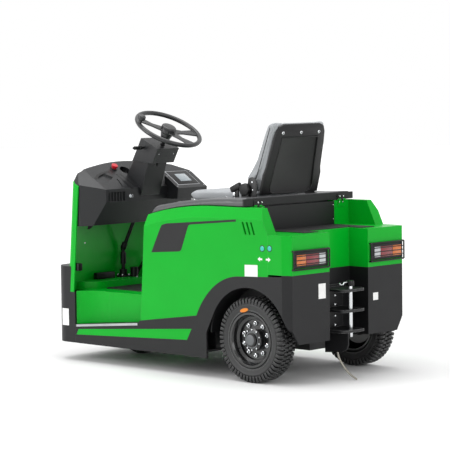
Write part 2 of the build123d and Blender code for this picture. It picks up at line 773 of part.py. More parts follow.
def dash_body():
    """The dash housing between the shield's two rear edges."""
    slope = math.tan(math.radians(DASH_SLOPE))
    far = 330
    outline = polygon([
        (DASH_REAR, DASH_TOP_Z),
        (DASH_REAR + far, DASH_TOP_Z + slope * far),
        (DASH_REAR + far, DASH_LOW_Z - 10),
        (DASH_LOW_X, DASH_LOW_Z),
        (DASH_REAR, DASH_KNEE_Z),
    ])
    body = side_slab(outline, -HALF_WIDTH, HALF_WIDTH)
    plan = polygon([
        (DASH_REAR, -DASH_HALF), (DASH_REAR, DASH_HALF),
        (SHIELD_TOP_X, HALF_WIDTH - 12), (DASH_REAR + far, HALF_WIDTH - 12),
        (DASH_REAR + far, 12 - HALF_WIDTH), (SHIELD_TOP_X, 12 - HALF_WIDTH),
    ])
    body &= plan_slab(plan, 700, 1300)
    body &= shield_solid(SHEET + SEAT_GAP, BULKHEAD_X)
    rear = Vector(DASH_REAR, DASH_HALF, DASH_TOP_Z)
    front = Vector(DASH_SIDE_X, DASH_HALF + 12, DASH_TOP_Z + slope * (DASH_SIDE_X - DASH_REAR))
    outer = Vector(SHIELD_TOP_X, HALF_WIDTH - SHEET, SHIELD_TOP_Z + 6)
    for side in (1, -1):
        ends = [Vector(p.X, side * p.Y, p.Z) for p in (rear, front, outer)]
        normal = (ends[1] - ends[0]).cross(ends[2] - ends[0]) * side
        body = split(body, bisect_by=Plane(origin=ends[0], z_dir=normal), keep=Keep.BOTTOM)
    return body


def dash_top(x, y):
    """A plane on the dash's sloping top, with its normal out of it."""
    turn = math.radians(DASH_SLOPE)
    return Plane(
        origin=(x, y, DASH_TOP_Z + math.tan(turn) * (x - DASH_REAR)),
        x_dir=(0, 1, 0),
        z_dir=(-math.sin(turn), 0, math.cos(turn)),
    )


def dash_recess(corners, depth):
    """A recess whose outline is drawn in plan on the sloping top."""
    slope = math.tan(math.radians(DASH_SLOPE))
    far = 2 * HALF_WIDTH
    cut = plan_slab(polygon(corners), 0, 2 * far)
    rise = slope * far
    floor = side_slab(polygon([
        (DASH_REAR - far, DASH_TOP_Z - rise - depth), (DASH_REAR + far, DASH_TOP_Z + rise - depth),
        (DASH_REAR + far, 2 * far), (DASH_REAR - far, 2 * far),
    ]), -HALF_WIDTH, HALF_WIDTH)
    return cut & floor


def make_dash():
    cuts = [dash_recess(TRAY_CORNERS, TRAY_DEPTH)]
    for (x0, y0), (x1, y1) in PEN_SLOTS:
        half = PEN_WIDTH / 2
        cuts.append(dash_recess([(x0, y0 - half), (x0, y0 + half), (x1, y1 + half), (x1, y1 - half)], PEN_DEPTH))
    cuts.append(dash_top(CUP_X, CUP_Y) * Cylinder(CUP_R, 2 * CUP_DEPTH))
    top = DASH_TOP_Z - POCKET_TOP_DROP
    pocket = block(DASH_REAR - 1, DASH_REAR + POCKET_DEPTH, POCKET_RIGHT, POCKET_LEFT, top - POCKET_HEIGHT, top)
    pitch = (POCKET_LEFT - POCKET_RIGHT) / (POCKET_RIBS + 1)
    for number in range(POCKET_RIBS):
        y = POCKET_RIGHT + (number + 1) * pitch
        pocket -= block(DASH_REAR + 2, DASH_REAR + POCKET_DEPTH, y - RIB_T / 2, y + RIB_T / 2, 0, 2 * top)
    keep("dash", dash_body() - shaft_bore() - cuts - pocket)


def column_frame():
    """A plane at the steering wheel's centre whose normal runs down the column."""
    tilt = math.radians(COLUMN_TILT)
    return Plane(origin=WHEEL_CENTRE, x_dir=(0, 1, 0), z_dir=(math.sin(tilt), 0, -math.cos(tilt)))


def shaft_bore():
    """The space that the steering shaft turns in."""
    return column_frame() * Pos(0, 0, JOINT_DROP / 2) * Cylinder(SHAFT_R + RUNNING_GAP, JOINT_DROP)


def make_column():
    upper = polygon([(1229, 1303), (1091, 1240), (1139, 1154), (1309, 1165)])
    box = side_slab(upper, -COLUMN_HALF, COLUMN_HALF)
    lower = polygon([
        (1185, 1157), (1309, 1165), (1395, 1040), (1330, 1040), (DASH_REAR - 6, 990), (DASH_REAR - 6, 960),
    ])
    cover = box + side_slab(lower, -COVER_HALF, COVER_HALF)
    cover -= shaft_bore()
    keep("column_cover", cover - dash_body())


def make_steering():
    frame = column_frame()
    rim = frame * Torus(WHEEL_RADIUS, WHEEL_TUBE)
    hub = frame * Pos(0, 0, 10) * Cylinder(42, 60)
    wheel = rim + hub
    for angle in (30, 150, 270):
        spoke = Rot(0, 0, angle) * Pos(WHEEL_RADIUS / 2, 0, 8) * Box(WHEEL_RADIUS, 30, 8)
        wheel += frame * spoke
    keep("steering_wheel", wheel)
    ball = fillet(Cylinder(KNOB_R, KNOB_HEIGHT).edges(), KNOB_R / 2)
    knob = Pos(0, 0, -KNOB_RISE - KNOB_HEIGHT / 2) * ball + Pos(0, 0, -KNOB_RISE / 2 - 2) * Cylinder(KNOB_STEM_R, KNOB_RISE)
    knob = Rot(0, 0, KNOB_ANGLE) * Pos(WHEEL_RADIUS, 0, 0) * knob
    keep("spinner_knob", frame * knob - frame * Torus(WHEEL_RADIUS, WHEEL_TUBE + SEAT_GAP))
    length = JOINT_DROP - 40 - JOINT_BALL - SEAT_GAP
    keep("upper_shaft", frame * Pos(0, 0, 40 + length / 2) * Cylinder(SHAFT_R, length))
    joint_x = WHEEL_CENTRE[0] + JOINT_DROP * math.sin(math.radians(COLUMN_TILT))
    joint_z = WHEEL_CENTRE[2] - JOINT_DROP * math.cos(math.radians(COLUMN_TILT))
    lower = Pos(joint_x, 0, joint_z) * Sphere(JOINT_BALL)
    lower += upright(SHAFT_R, FLANGE_TOP + SEAT_GAP, joint_z, joint_x, 0)
    lower += upright(SHAFT_R + 6, joint_z - 90, joint_z - 24, joint_x, 0)
    keep("lower_shaft", lower)
    flange = upright(FLANGE_R, PLATFORM_TOP, PLATFORM_TOP + 10, joint_x, 0)
    flange += upright(SHAFT_R + 12, PLATFORM_TOP, FLANGE_TOP, joint_x, 0)
    keep("steering_flange", flange)
    keep("fluid_pot", upright(24, PLATFORM_TOP, PLATFORM_TOP + 58, 1440, -40))


def make_dash_fittings():
    slope = math.tan(math.radians(DASH_SLOPE))
    outline = polygon([
        (POD_REAR, POD_REAR_Z), (POD_REAR + 8, POD_REAR_Z - POD_DEPTH), (DASH_REAR - SEAT_GAP, POD_REAR_Z - POD_DEPTH),
        (DASH_REAR - SEAT_GAP, DASH_TOP_Z), (POD_FRONT, DASH_TOP_Z + slope * (POD_FRONT - DASH_REAR) + SEAT_GAP),
        (POD_FRONT, POD_REAR_Z + slope * (POD_FRONT - POD_REAR)),
    ])
    pod = side_slab(outline, POD_RIGHT, POD_LEFT) & plan_slab(polygon(POD_PLAN), 0, 2 * DASH_TOP_Z)
    keep("display_pod", pod)
    top = dash_top(BUTTON_X, BUTTON_Y)
    cap = fillet(Cylinder(BUTTON_R, BUTTON_T).edges(), BUTTON_T / 3)
    button = top * Pos(0, 0, BUTTON_T / 2) * Cylinder(BUTTON_R - 5, BUTTON_T) + top * Pos(0, 0, BUTTON_T * 1.4) * cap
    keep("stop_button", button)
    lever = Pos(1212, COLUMN_HALF + 35, 1246) * Rot(90, 0, 0) * Cylinder(6, 70)
    lever += Pos(1212, COLUMN_HALF + 72, 1246) * Sphere(12)
    keep("travel_lever", lever)
    pedal = polygon([(1330, 520), (1400, 575), (1406, 568), (1336, 513)])
    stem = polygon([(1400, 575), (1490, 455), (1500, 455), (1406, 575)])
    pads = side_slab(pedal, -250, -170) + side_slab(stem, -220, -200)
    keep("pedals", pads + side_slab(pedal, -140, -70) + side_slab(stem, -115, -95))


# Running gear

def wheel_round(section):
    """Turns a closed section of radius and width about the axle's line."""
    return revolve(make_face(Plane.YZ * Polyline(*[(y, r) for r, y in section], close=True)), Axis.Y)


def lugged_tyre(radius, width, rim_radius, count):
    """A tyre with lugs on both shoulders, its middle at the origin."""
    half = width / 2
    bead = half * BEAD_HALF_SHARE
    wall = radius - rim_radius
    outer = [
        (rim_radius, bead), (rim_radius + 6, bead + 7), (rim_radius + 0.39 * wall, half), (rim_radius + 0.68 * wall, half),
        (rim_radius + 0.87 * wall, half - 6), (radius - 3, half - 19), (radius, half - 41),
    ]
    tyre = wheel_round(outer + [(r, -y) for r, y in reversed(outer)])
    grooves = []
    groove = Box(GROOVE, LUG_REACH, 2 * LUG_DEPTH)
    for number in range(count):
        for side, shift in ((1, 0), (-1, 0.5)):
            turn = Rot(0, (number + shift) * 360 / count, 0)
            grooves.append(turn * Pos(0, side * (half + 1 - LUG_REACH / 2), radius) * groove)
    return tyre - grooves


def make_rear_wheels():
    middle = TYRE_OUTER_Y - TYRE_W / 2
    place = Pos(0, middle, TYRE_R)
    keep_pair("rear_tyre", place * lugged_tyre(TYRE_R, TYRE_W, RIM_R, LUG_COUNT))
    bore = STUB_R + SEAT_GAP
    section = [(bore, -40), *RIM_SECTION, (0, 56), (0, 20), (bore, 20)]
    keep_pair("rear_rim", place * wheel_round(section))
    inner = middle - 50 - RUNNING_GAP
    axle = across(AXLE_TUBE_R, -inner, inner, 0, TYRE_R)
    axle += across(STUB_R, -middle - 19, middle + 19, 0, TYRE_R)
    keep("rear_axle", axle + block(-120, 160, -130, 130, 150, 350))


def make_front_wheel():
    half = FRONT_TYRE_W / 2
    tyre = Pos(FRONT_X, 0, FRONT_TYRE_R) * lugged_tyre(FRONT_TYRE_R, FRONT_TYRE_W, FRONT_RIM_R, FRONT_LUG_COUNT)
    keep("front_tyre", tyre)
    rim = across(FRONT_RIM_R, -half + 8, half - 8, FRONT_X, FRONT_TYRE_R)
    rim -= across(FRONT_PIN_R + SEAT_GAP, -half, half, FRONT_X, FRONT_TYRE_R)
    keep("front_rim", rim)
    crown = upright(TURNTABLE_R, FORK_CROWN_LOW, FORK_CROWN_TOP, FRONT_X, 0)
    arm = block(
        FRONT_X - 45, FRONT_X + 45, FORK_INNER, FORK_INNER + FORK_PLATE,
        FRONT_TYRE_R - 45, FORK_CROWN_TOP,
    )
    pin = across(FRONT_PIN_R, -FORK_INNER - 5, FORK_INNER + 5, FRONT_X, FRONT_TYRE_R)
    keep("front_fork", crown + arm + other_side(arm) + pin)
    ring = upright(TURNTABLE_R + 20, FORK_CROWN_TOP + SEAT_GAP, FLOOR - SHEET, FRONT_X, 0)
    keep("turntable", ring)


# Hitch

def make_hitch():
    back_x = REAR_FACE + RECESS_DEPTH
    frame = block(back_x - 10, back_x, -JAW_HALF, JAW_HALF, JAW_HEIGHTS[0] - 20, JAW_HEIGHTS[2] + 20)
    for height in JAW_HEIGHTS:
        plate = block(JAW_REAR, back_x, -JAW_HALF, JAW_HALF, height - JAW_PLATE / 2, height + JAW_PLATE / 2)
        plate = fillet([e for e in plate.edges().filter_by(Axis.Z) if e.center().X < JAW_REAR + 1], 40)
        frame += plate
    frame -= upright(PIN_R + 1, 0, 1000, PIN_X, 0)
    keep("hitch_frame", frame)
    pin = upright(PIN_R, PIN_LOW, JAW_HEIGHTS[2] + 30, PIN_X, 0)
    top = JAW_HEIGHTS[2] + JAW_PLATE / 2 + SEAT_GAP
    pin += upright(18, top, top + 8, PIN_X, 0)
    pin += block(PIN_X - PIN_HEAD / 2, PIN_X + PIN_HEAD / 2, -PIN_HEAD / 2, PIN_HEAD / 2, top + 6, top + 42)
    pin += across(HANDLE_R, 0, HANDLE_END_Y, PIN_X, HANDLE_Z)
    pin += Pos(PIN_X, HANDLE_END_Y, HANDLE_Z) * Sphere(2 * HANDLE_R)
    keep("hitch_pin", pin)
    low = JAW_HEIGHTS[0] - JAW_PLATE / 2
    plate = polygon([(-178, low), (-178, 139), (-301, 150), (-332, 165), (-344, 192), (-344, low)])
    bracket = side_slab(plate, STRAP_PLATE_Y, STRAP_PLATE_Y + STRAP_PLATE_T)
    x, y, z = STRAP_ROUTE[0]
    bracket += block(x - 7, x + 7, y - 7, STRAP_PLATE_Y, z, z + 14)
    keep("strap_plate", bracket)


def make_strap():
    runs = [Vector(b) - Vector(a) for a, b in zip(STRAP_ROUTE, STRAP_ROUTE[1:])]
    radii = [
        0.45 * min(a.length, b.length) / math.tan(math.radians(a.get_angle(b)) / 2)
        for a, b in zip(runs, runs[1:])
    ]
    path = FilletPolyline(*STRAP_ROUTE, radius=radii)
    start = Plane(origin=STRAP_ROUTE[0], z_dir=runs[0])
    strap = sweep(start * Circle(STRAP_R), path=path)
    print("strap radii", [round(r) for r in radii], "length", round(path.length))
    print("strap volume", round(strap.volume), "section times length", round(math.pi * STRAP_R**2 * path.length))
    keep("ground_strap", strap)


def make_lamps():
    outer_y = HALF_WIDTH - LAMP_OUTER_INSET
    lamp = block(REAR_FACE - LAMP_DEPTH, REAR_FACE, LAMP_INNER_Y, outer_y, LAMP_LOW, LAMP_HIGH)
    keep_both("tail_lamps", fillet(lamp.edges().filter_by(Axis.X), LAMP_ROUND))
    y0 = LAMP_INNER_Y - GUARD_MARGIN
    y1 = outer_y + GUARD_MARGIN
    z0 = LAMP_LOW - GUARD_MARGIN
    z1 = LAMP_HIGH + GUARD_MARGIN
    wire = GUARD_WIRE
    back = REAR_FACE - GUARD_REACH
    ring = block(back, back + wire, y0, y1, z0, z1) - block(
        back - 1, REAR_FACE, y0 + wire, y1 - wire, z0 + wire, z1 - wire
    )
    for z in GUARD_BARS:
        ring += block(back, back + wire - 2, y0, y1, z - 2.5, z + 2.5)
    for y in (y0, y1 - wire):
        for z in (z0, z1 - wire):
            ring += block(back + wire - 1, REAR_FACE, y, y + wire, z, z + wire)
    keep_both("lamp_guards", ring)
    head = Pos(SHIELD_CENTRE_X + 20, HEADLAMP_Y, HEADLAMP_Z) * Rot(0, 90, 0) * Cylinder(HEADLAMP_R, 80)
    head -= shield_solid(-SEAT_GAP)
    keep_both("headlamps", head)


def main():
    make_skirts()
    make_wheel_arches()
    make_rear_frame()
    make_bumper()
    make_shield()
    make_floor()
    make_tail_body()
    make_side_panels()
    make_bulkhead()
    make_hood()
    make_seat()
    make_dash()
    make_column()
    make_steering()
    make_dash_fittings()
    make_rear_wheels()
    make_front_wheel()
    make_hitch()
    make_strap()
    make_lamps()
    os.makedirs("parts", exist_ok=True)
    for name, piece in PIECES.items():
        export_step(piece, os.path.join("parts", name + ".step"))
        box = piece.bounding_box()
        print(name, [round(v) for v in (*box.min, *box.max)], len(piece.solids()))


main()
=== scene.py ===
import logging
import math
from dataclasses import dataclass, field
from enum import Enum
from typing import Optional, Sequence

import bpy
from mathutils import Matrix, Vector


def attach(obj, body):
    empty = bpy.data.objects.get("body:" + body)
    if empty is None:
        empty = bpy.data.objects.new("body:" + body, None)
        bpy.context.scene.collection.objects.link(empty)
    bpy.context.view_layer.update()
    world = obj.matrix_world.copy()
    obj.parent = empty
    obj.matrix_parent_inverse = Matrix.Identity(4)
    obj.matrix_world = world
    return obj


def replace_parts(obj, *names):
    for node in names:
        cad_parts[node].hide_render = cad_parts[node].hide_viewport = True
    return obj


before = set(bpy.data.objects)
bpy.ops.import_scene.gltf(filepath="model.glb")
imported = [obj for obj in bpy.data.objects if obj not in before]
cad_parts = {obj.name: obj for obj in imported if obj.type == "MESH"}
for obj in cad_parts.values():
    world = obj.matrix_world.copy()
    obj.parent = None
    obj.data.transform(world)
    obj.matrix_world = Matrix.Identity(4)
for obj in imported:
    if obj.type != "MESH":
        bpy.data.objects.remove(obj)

log = logging.getLogger("tow_tractor")

Point = tuple[float, float, float]
Flat = tuple[float, float]
Piece = bpy.types.Object
Tree = bpy.types.NodeTree
Socket = bpy.types.NodeSocket
AXLE_X = -0.6375
SIDE_Y = 0.490
TAIL_X = AXLE_X - 0.297
SMOOTH_ANGLE = 35.0
ROUND_SHARE = 0.16
EDGE_RADIUS = 0.0018
# Pale edge colour: wear on handled parts, and a painted highlight on the tyre's lug edges.
WORN_AND_SHEEN_EDGE = "#C8CBC9"
# A wave texture repeats every 0.314 units at a scale of 1.
BAND_PITCH = 0.314


class Family(Enum):
    """How a finish's surface detail is drawn."""

    PAINT = "paint"
    PLASTIC = "plastic"
    RUBBER = "rubber"
    METAL = "metal"
    VINYL = "vinyl"
    LENS = "lens"
    BRAID = "braid"
    RIBBED = "ribbed"


@dataclass(frozen=True)
class Finish:
    """One real material: its colours in sRGB hex and its surface detail in metres."""

    name: str
    family: Family
    colour: str
    shade: str
    roughness: float
    grain: float
    bump: float
    slot: str
    metallic: float = 0.0
    coat: float = 0.0
    specular: float = 0.5
    wear_and_sheen: float = 0.10


# The grain is the spacing of the pattern in metres. Where the real one is too fine to show in the render, it is
# drawn coarser and the comment gives both sizes.

# Gloss powder coat: an even green with soft reflections and an orange peel of 1.6 mm.
GREEN = Finish(
    "Green_gloss_powder_coat", Family.PAINT, "#00AC28", "#00A224", 0.34, 0.0016, 0.05, "green_paint",
    specular=0.12, coat=0.12,
)
# Satin powder coat: a dull black with an orange peel of 1.1 mm.
CHARCOAL = Finish(
    "Charcoal_satin_powder_coat", Family.PAINT, "#161618", "#111113", 0.44, 0.0011, 0.10, "black_paint",
    specular=0.30, wear_and_sheen=0.05,
)
# The same coat on steel that is handled: bare bright edges on black, with the same peel.
BARE_EDGED = Finish(
    "Charcoal_coat_worn_at_edges", Family.PAINT, "#1D1D1F", "#161618", 0.42, 0.0011, 0.12, "black_paint",
    specular=0.4, wear_and_sheen=0.60,
)
# Grained thermoformed skin: dark grey with a broad sheen. Grain of about 0.5 mm, drawn at 1.4 mm.
SATIN_COVER = Finish(
    "Satin_grained_hood_skin", Family.PLASTIC, "#4B4C4E", "#424345", 0.28, 0.0014, 0.14, "dark_plastic", specular=0.6,
)
# Moulded ABS: black with a fine eggshell grain. Grain of about 0.4 mm, drawn at 1.3 mm.
MOULDED = Finish(
    "Moulded_grained_abs", Family.PLASTIC, "#1F2022", "#191A1C", 0.38, 0.0013, 0.16, "dark_plastic", specular=0.42,
)
# Blow moulded polyethylene: near black, dull and slightly uneven. Grain of about 0.5 mm, drawn at 1.6 mm.
SHELL = Finish(
    "Blow_moulded_shell", Family.PLASTIC, "#101011", "#0C0C0D", 0.42, 0.0016, 0.18, "dark_plastic", specular=0.32,
)
# Self skinning foam: a smooth dark grip with a light sheen. Pores of about 0.3 mm, drawn at 1.0 mm.
WHEEL = Finish(
    "Hand_wheel_foam", Family.PLASTIC, "#242527", "#1E1F20", 0.34, 0.0010, 0.12, "wheel_plastic", coat=0.15,
)
# Grained vinyl: pale grey leather cells with painted shade in the creases. Cells of about 1 mm, drawn at 2.1 mm.
GREY_VINYL = Finish("Grey_grained_vinyl", Family.VINYL, "#A4A7AA", "#94979A", 0.50, 0.0021, 0.22, "vinyl")
# Solid tyre rubber: dull black; its pale lug edges are partly scuffs and dust and partly a painted highlight. Mould
# texture of about 0.5 mm, drawn at 1.9 mm.
TYRE_RUBBER = Finish("Tyre_rubber", Family.RUBBER, "#232324", "#19191A", 0.46, 0.0019, 0.22, "tyre", wear_and_sheen=0.42)
# Gloss enamel: black with clear highlights and an orange peel of 1.5 mm.
WHEEL_PAINT = Finish(
    "Gloss_black_wheel_enamel", Family.PAINT, "#141415", "#0F0F10", 0.22, 0.0015, 0.06, "rim_steel", coat=0.4,
)
# Bright zinc plate: a near white metal that mirrors softly. Plating marks of about 0.2 mm, drawn at 0.9 mm.
ZINC = Finish("Bright_zinc_plate", Family.METAL, "#E0E2E4", "#C2C5C8", 0.22, 0.0009, 0.08, "steel", metallic=1.0)
# Turned steel: a grey metal, darker than the zinc. Tool marks of about 0.2 mm, drawn at 0.8 mm.
HUB_STEEL = Finish("Machined_hub_steel", Family.METAL, "#7C7E80", "#5C5E60", 0.36, 0.0008, 0.12, "steel", metallic=1.0)
# Brushed aluminium: a pale satin metal. Brush lines of about 0.1 mm, drawn at 0.7 mm.
BRUSHED = Finish("Brushed_aluminium", Family.METAL, "#B9BBBD", "#A2A4A6", 0.38, 0.0007, 0.12, "steel", metallic=1.0)
# Painted cast iron: rough dull black. Sand grain of about 0.5 mm, drawn at 3.2 mm.
CAST = Finish("Painted_cast_iron", Family.PAINT, "#141416", "#0F0F11", 0.55, 0.0032, 0.40, "cast")
# Ribbed rubber matting: black with ribs 12 mm apart, with painted shade between the ribs.
FLOOR_RUBBER = Finish("Ribbed_floor_rubber", Family.RIBBED, "#171718", "#101011", 0.62, 0.0120, 0.60, "mat_rubber")
# Moulded acrylic lenses: clear gloss colour over flutes 5 mm apart, with painted shade in the flutes.
AMBER = Finish("Amber_lens", Family.LENS, "#D9720C", "#B95A06", 0.16, 0.0050, 0.35, "lamp_glass", coat=0.5)
RED_LENS = Finish("Red_lens", Family.LENS, "#8E0E1E", "#6E0A16", 0.16, 0.0050, 0.35, "lamp_glass", coat=0.5)
CLEAR = Finish("Clear_lens", Family.LENS, "#D4D6D8", "#A6A9AC", 0.12, 0.0050, 0.35, "clear_lens", coat=0.6)
# Moulded ABS button: even glossy red. Grain of about 0.3 mm, drawn at 1.0 mm.
RED_BUTTON = Finish(
    "Red_moulded_button", Family.PLASTIC, "#D3182B", "#BC1224", 0.30, 0.0010, 0.05, "red_button", coat=0.3,
)
# Silicone rubber button: soft cyan. Grain of about 0.3 mm, drawn at 1.0 mm.
CYAN = Finish("Cyan_rubber_button", Family.PLASTIC, "#1FC7B4", "#18B3A2", 0.34, 0.0010, 0.08, "dark_plastic", coat=0.2)
# Coloured rubber patch: flat orange on the tyre. Texture of about 0.5 mm, drawn at 1.2 mm.
ORANGE = Finish("Orange_moulded_patch", Family.RUBBER, "#E8860F", "#D6780A", 0.50, 0.0012, 0.10, "tyre")
# Vinyl film: flat, nearly smooth white. Texture of about 0.1 mm, drawn at 1.2 mm.
WHITE = Finish("White_film", Family.PAINT, "#F1F1F0", "#E7E7E5", 0.34, 0.0012, 0.02, "green_paint")
# Display glass: a blank pale grey under gloss. Its nearly flat bands of 4 mm break up the reflection and carry a faint
# painted shade in their low parts.
SCREEN = Finish("Liquid_crystal_glass", Family.LENS, "#9FA8AD", "#8E979C", 0.14, 0.0040, 0.02, "dark_plastic", coat=0.6)
# Tinned copper braid: pale plaits with painted shade in the gaps. The plaits are 2.4 mm wide.
BRAIDED = Finish("Tinned_copper_braid", Family.BRAID, "#DCD8CC", "#8C8779", 0.50, 0.0024, 0.80, "braid", metallic=0.15)
# Painted board: nearly white and matt, so that only the shadow shows. Roller marks of 4 mm.
PALE_FLOOR = Finish("Pale_studio_floor", Family.PAINT, "#F4F4F4", "#F2F2F2", 0.70, 0.0040, 0.01, "")

NODE_FINISHES: dict[str, Finish] = {
    "side_skirt_left": CHARCOAL, "side_skirt_right": CHARCOAL, "wheel_arch_left": CHARCOAL,
    "wheel_arch_right": CHARCOAL, "rear_frame": CHARCOAL, "front_bumper": CHARCOAL,
    "floor_pan": GREEN, "front_platform": GREEN, "floor_mat": FLOOR_RUBBER, "tail_body": GREEN,
    "deck_mat": FLOOR_RUBBER, "side_panel_left": GREEN, "side_panel_right": GREEN, "bulkhead_panel": CHARCOAL,
    "bulkhead_jambs": GREEN, "battery_front_wall": CHARCOAL, "battery_tray": CHARCOAL, "battery": MOULDED,
    "hood_cover": SATIN_COVER, "hood_beam": CHARCOAL, "seat_base": MOULDED,
    "column_cover": MOULDED, "spinner_knob": WHEEL,
    "upper_shaft": CHARCOAL, "lower_shaft": CHARCOAL, "steering_flange": CHARCOAL, "fluid_pot": SHELL,
    "display_pod": MOULDED, "stop_button": RED_BUTTON, "pedals": CHARCOAL,
    "rear_rim_left": WHEEL_PAINT, "rear_rim_right": WHEEL_PAINT, "rear_axle": CAST, "front_tyre": TYRE_RUBBER,
    "front_rim": WHEEL_PAINT, "front_fork": CAST, "turntable": ZINC, "hitch_frame": BARE_EDGED,
    "strap_plate": CHARCOAL,
}


def linear(code: str) -> tuple[float, float, float, float]:
    """Turns an sRGB hex colour into Blender's linear colour.

    Args:
        code: a colour such as #06BE34.

    Returns:
        Red, green, blue and alpha, linear.
    """
    parts = [int(code[i:i + 2], 16) / 255 for i in (1, 3, 5)]
    flat = [c / 12.92 if c <= 0.04045 else ((c + 0.055) / 1.055) ** 2.4 for c in parts]
    return (flat[0], flat[1], flat[2], 1.0)


def add_node(
    tree: Tree, kind: str, sockets: Optional[dict] = None, **settings: object
) -> bpy.types.Node:
    """Adds one shader node, sets its properties and fills its sockets.

    Args:
        tree: the material's node tree.
        kind: Blender's name of the node type, without its ShaderNode.
        sockets: input name or number to a constant or to another node's output.
        settings: properties of the node itself.

    Returns:
        The new node.
    """
    made = tree.nodes.new("ShaderNode" + kind)
    for key, value in settings.items():
        setattr(made, key, value)
    for key, value in (sockets or {}).items():
        if isinstance(value, Socket):
            tree.links.new(value, made.inputs[key])
        else:
            made.inputs[key].default_value = value
    return made


def detail_height(tree: Tree, finish: Finish, place: Socket) -> Socket:
    """Draws the fine relief of a finish.

    Args:
        tree: the material's node tree.
        finish: the finish to draw.
        place: the object coordinates.

    Returns:
        The height from 0 to 1.
    """
    scale = 1.0 / finish.grain
    if finish.family in (Family.PLASTIC, Family.VINYL):
        cells = add_node(tree, "TexVoronoi", {"Vector": place, "Scale": scale}, feature="DISTANCE_TO_EDGE")
        ramp = add_node(tree, "MapRange", {"Value": cells.outputs[0], "From Max": 0.16})
        return ramp.outputs[0]
    if finish.family in (Family.RIBBED, Family.LENS):
        ribs = add_node(tree, "TexWave", {"Vector": place, "Scale": BAND_PITCH * scale}, bands_direction="Y")
        return ribs.outputs[1]
    if finish.family is Family.BRAID:
        one = add_node(
            tree, "TexWave", {"Vector": place, "Scale": BAND_PITCH * scale, "Distortion": 1.5},
            bands_direction="DIAGONAL",
        )
        two = add_node(tree, "TexWave", {"Vector": place, "Scale": BAND_PITCH * scale}, bands_direction="Z")
        both = add_node(tree, "Math", {0: one.outputs[1], 1: two.outputs[1]}, operation="MULTIPLY")
        return both.outputs[0]
    if finish.family is Family.METAL:
        lay = add_node(tree, "Mapping", {"Vector": place, "Scale": (1.0, 1.0, 12.0)})
        place = lay.outputs[0]
    noise = add_node(tree, "TexNoise", {"Vector": place, "Scale": scale, "Detail": 3.0})
    return noise.outputs[0]


def make_material(finish: Finish) -> bpy.types.Material:
    """Builds a finish's shader once and reuses it after that.

    Args:
        finish: the finish wanted.

    Returns:
        Its material.
    """
    known = bpy.data.materials.get(finish.name)
    if known:
        return known
    material = bpy.data.materials.new(finish.name)
    material.use_nodes = True
    tree = material.node_tree
    shader = tree.nodes["Principled BSDF"]
    place = add_node(tree, "TexCoord").outputs["Object"]
    broad = add_node(tree, "TexNoise", {"Vector": place, "Scale": 7.0, "Detail": 4.0})
    height = detail_height(tree, finish, place)
    shade = linear(finish.shade)
    blend = add_node(
        tree, "Mix", {0: broad.outputs[0], 6: linear(finish.colour), 7: shade}, data_type="RGBA"
    )
    colour = blend.outputs[2]
    # Painted shade: the low parts of ribs, flutes, plaits and vinyl creases are drawn darker, towards the finish's
    # second colour.
    if finish.family in (Family.RIBBED, Family.BRAID, Family.LENS, Family.VINYL):
        painted_groove_shade = add_node(tree, "MapRange", {"Value": height, "To Min": 0.45, "To Max": 0.0})
        low = add_node(tree, "Mix", {0: painted_groove_shade.outputs[0], 6: colour, 7: shade}, data_type="RGBA")
        colour = low.outputs[2]
    rounded = add_node(tree, "Bevel", {"Radius": EDGE_RADIUS}, samples=4)
    # Pale edges: wear on handled parts, and on the tyre's lugs partly a painted highlight as well.
    if finish.family in (Family.PAINT, Family.PLASTIC, Family.RUBBER):
        flat = add_node(tree, "NewGeometry")
        turn = add_node(
            tree, "VectorMath", {0: rounded.outputs[0], 1: flat.outputs["Normal"]}, operation="DOT_PRODUCT"
        )
        worn = add_node(tree, "MapRange", {
            "Value": turn.outputs["Value"], "From Min": 0.995, "From Max": 0.90, "To Max": finish.wear_and_sheen,
        })
        edge = add_node(tree, "Mix", {0: worn.outputs[0], 6: colour, 7: linear(WORN_AND_SHEEN_EDGE)}, data_type="RGBA")
        colour = edge.outputs[2]
    tree.links.new(colour, shader.inputs["Base Color"])
    dull = add_node(tree, "MapRange", {
        "Value": broad.outputs[0], "To Min": finish.roughness - 0.05, "To Max": finish.roughness + 0.07,
    })
    tree.links.new(dull.outputs[0], shader.inputs["Roughness"])
    relief = add_node(tree, "Bump", {
        "Strength": finish.bump, "Distance": finish.grain * 0.25, "Height": height, "Normal": rounded.outputs[0],
    })
    tree.links.new(relief.outputs[0], shader.inputs["Normal"])
    shader.inputs["Metallic"].default_value = finish.metallic
    shader.inputs["Specular IOR Level"].default_value = finish.specular
    shader.inputs["Coat Weight"].default_value = finish.coat
    shader.inputs["Coat Roughness"].default_value = 0.16
    return material


def only(piece: Piece) -> None:
    """Leaves one object selected and active."""
    bpy.ops.object.select_all(action="DESELECT")
    piece.select_set(True)
    bpy.context.view_layer.objects.active = piece


def fix_place(piece: Piece) -> Piece:
    """Writes an object's place, turn and scale into its mesh.

    Args:
        piece: the object.

    Returns:
        The same object.
    """
    only(piece)
    bpy.ops.object.transform_apply(location=True, rotation=True, scale=True)
    return piece


def use_modifier(piece: Piece, kind: str, **settings: object) -> Piece:
    """Adds a modifier with its settings and applies it.

    Args:
        piece: the mesh to change.
        kind: Blender's name of the modifier type.
        settings: the modifier's own properties.

    Returns:
        The same piece.
    """
    only(piece)
    modifier = piece.modifiers.new(kind.title(), kind)
    for key, value in settings.items():
        setattr(modifier, key, value)
    bpy.ops.object.modifier_apply(modifier=modifier.name)
    return piece


def soften(piece: Piece, width: float, segments: int = 2) -> Piece:
    """Rounds a piece's sharp edges."""
    return use_modifier(
        piece, "BEVEL", width=width, segments=segments, limit_method="ANGLE", angle_limit=math.radians(SMOOTH_ANGLE),
    )


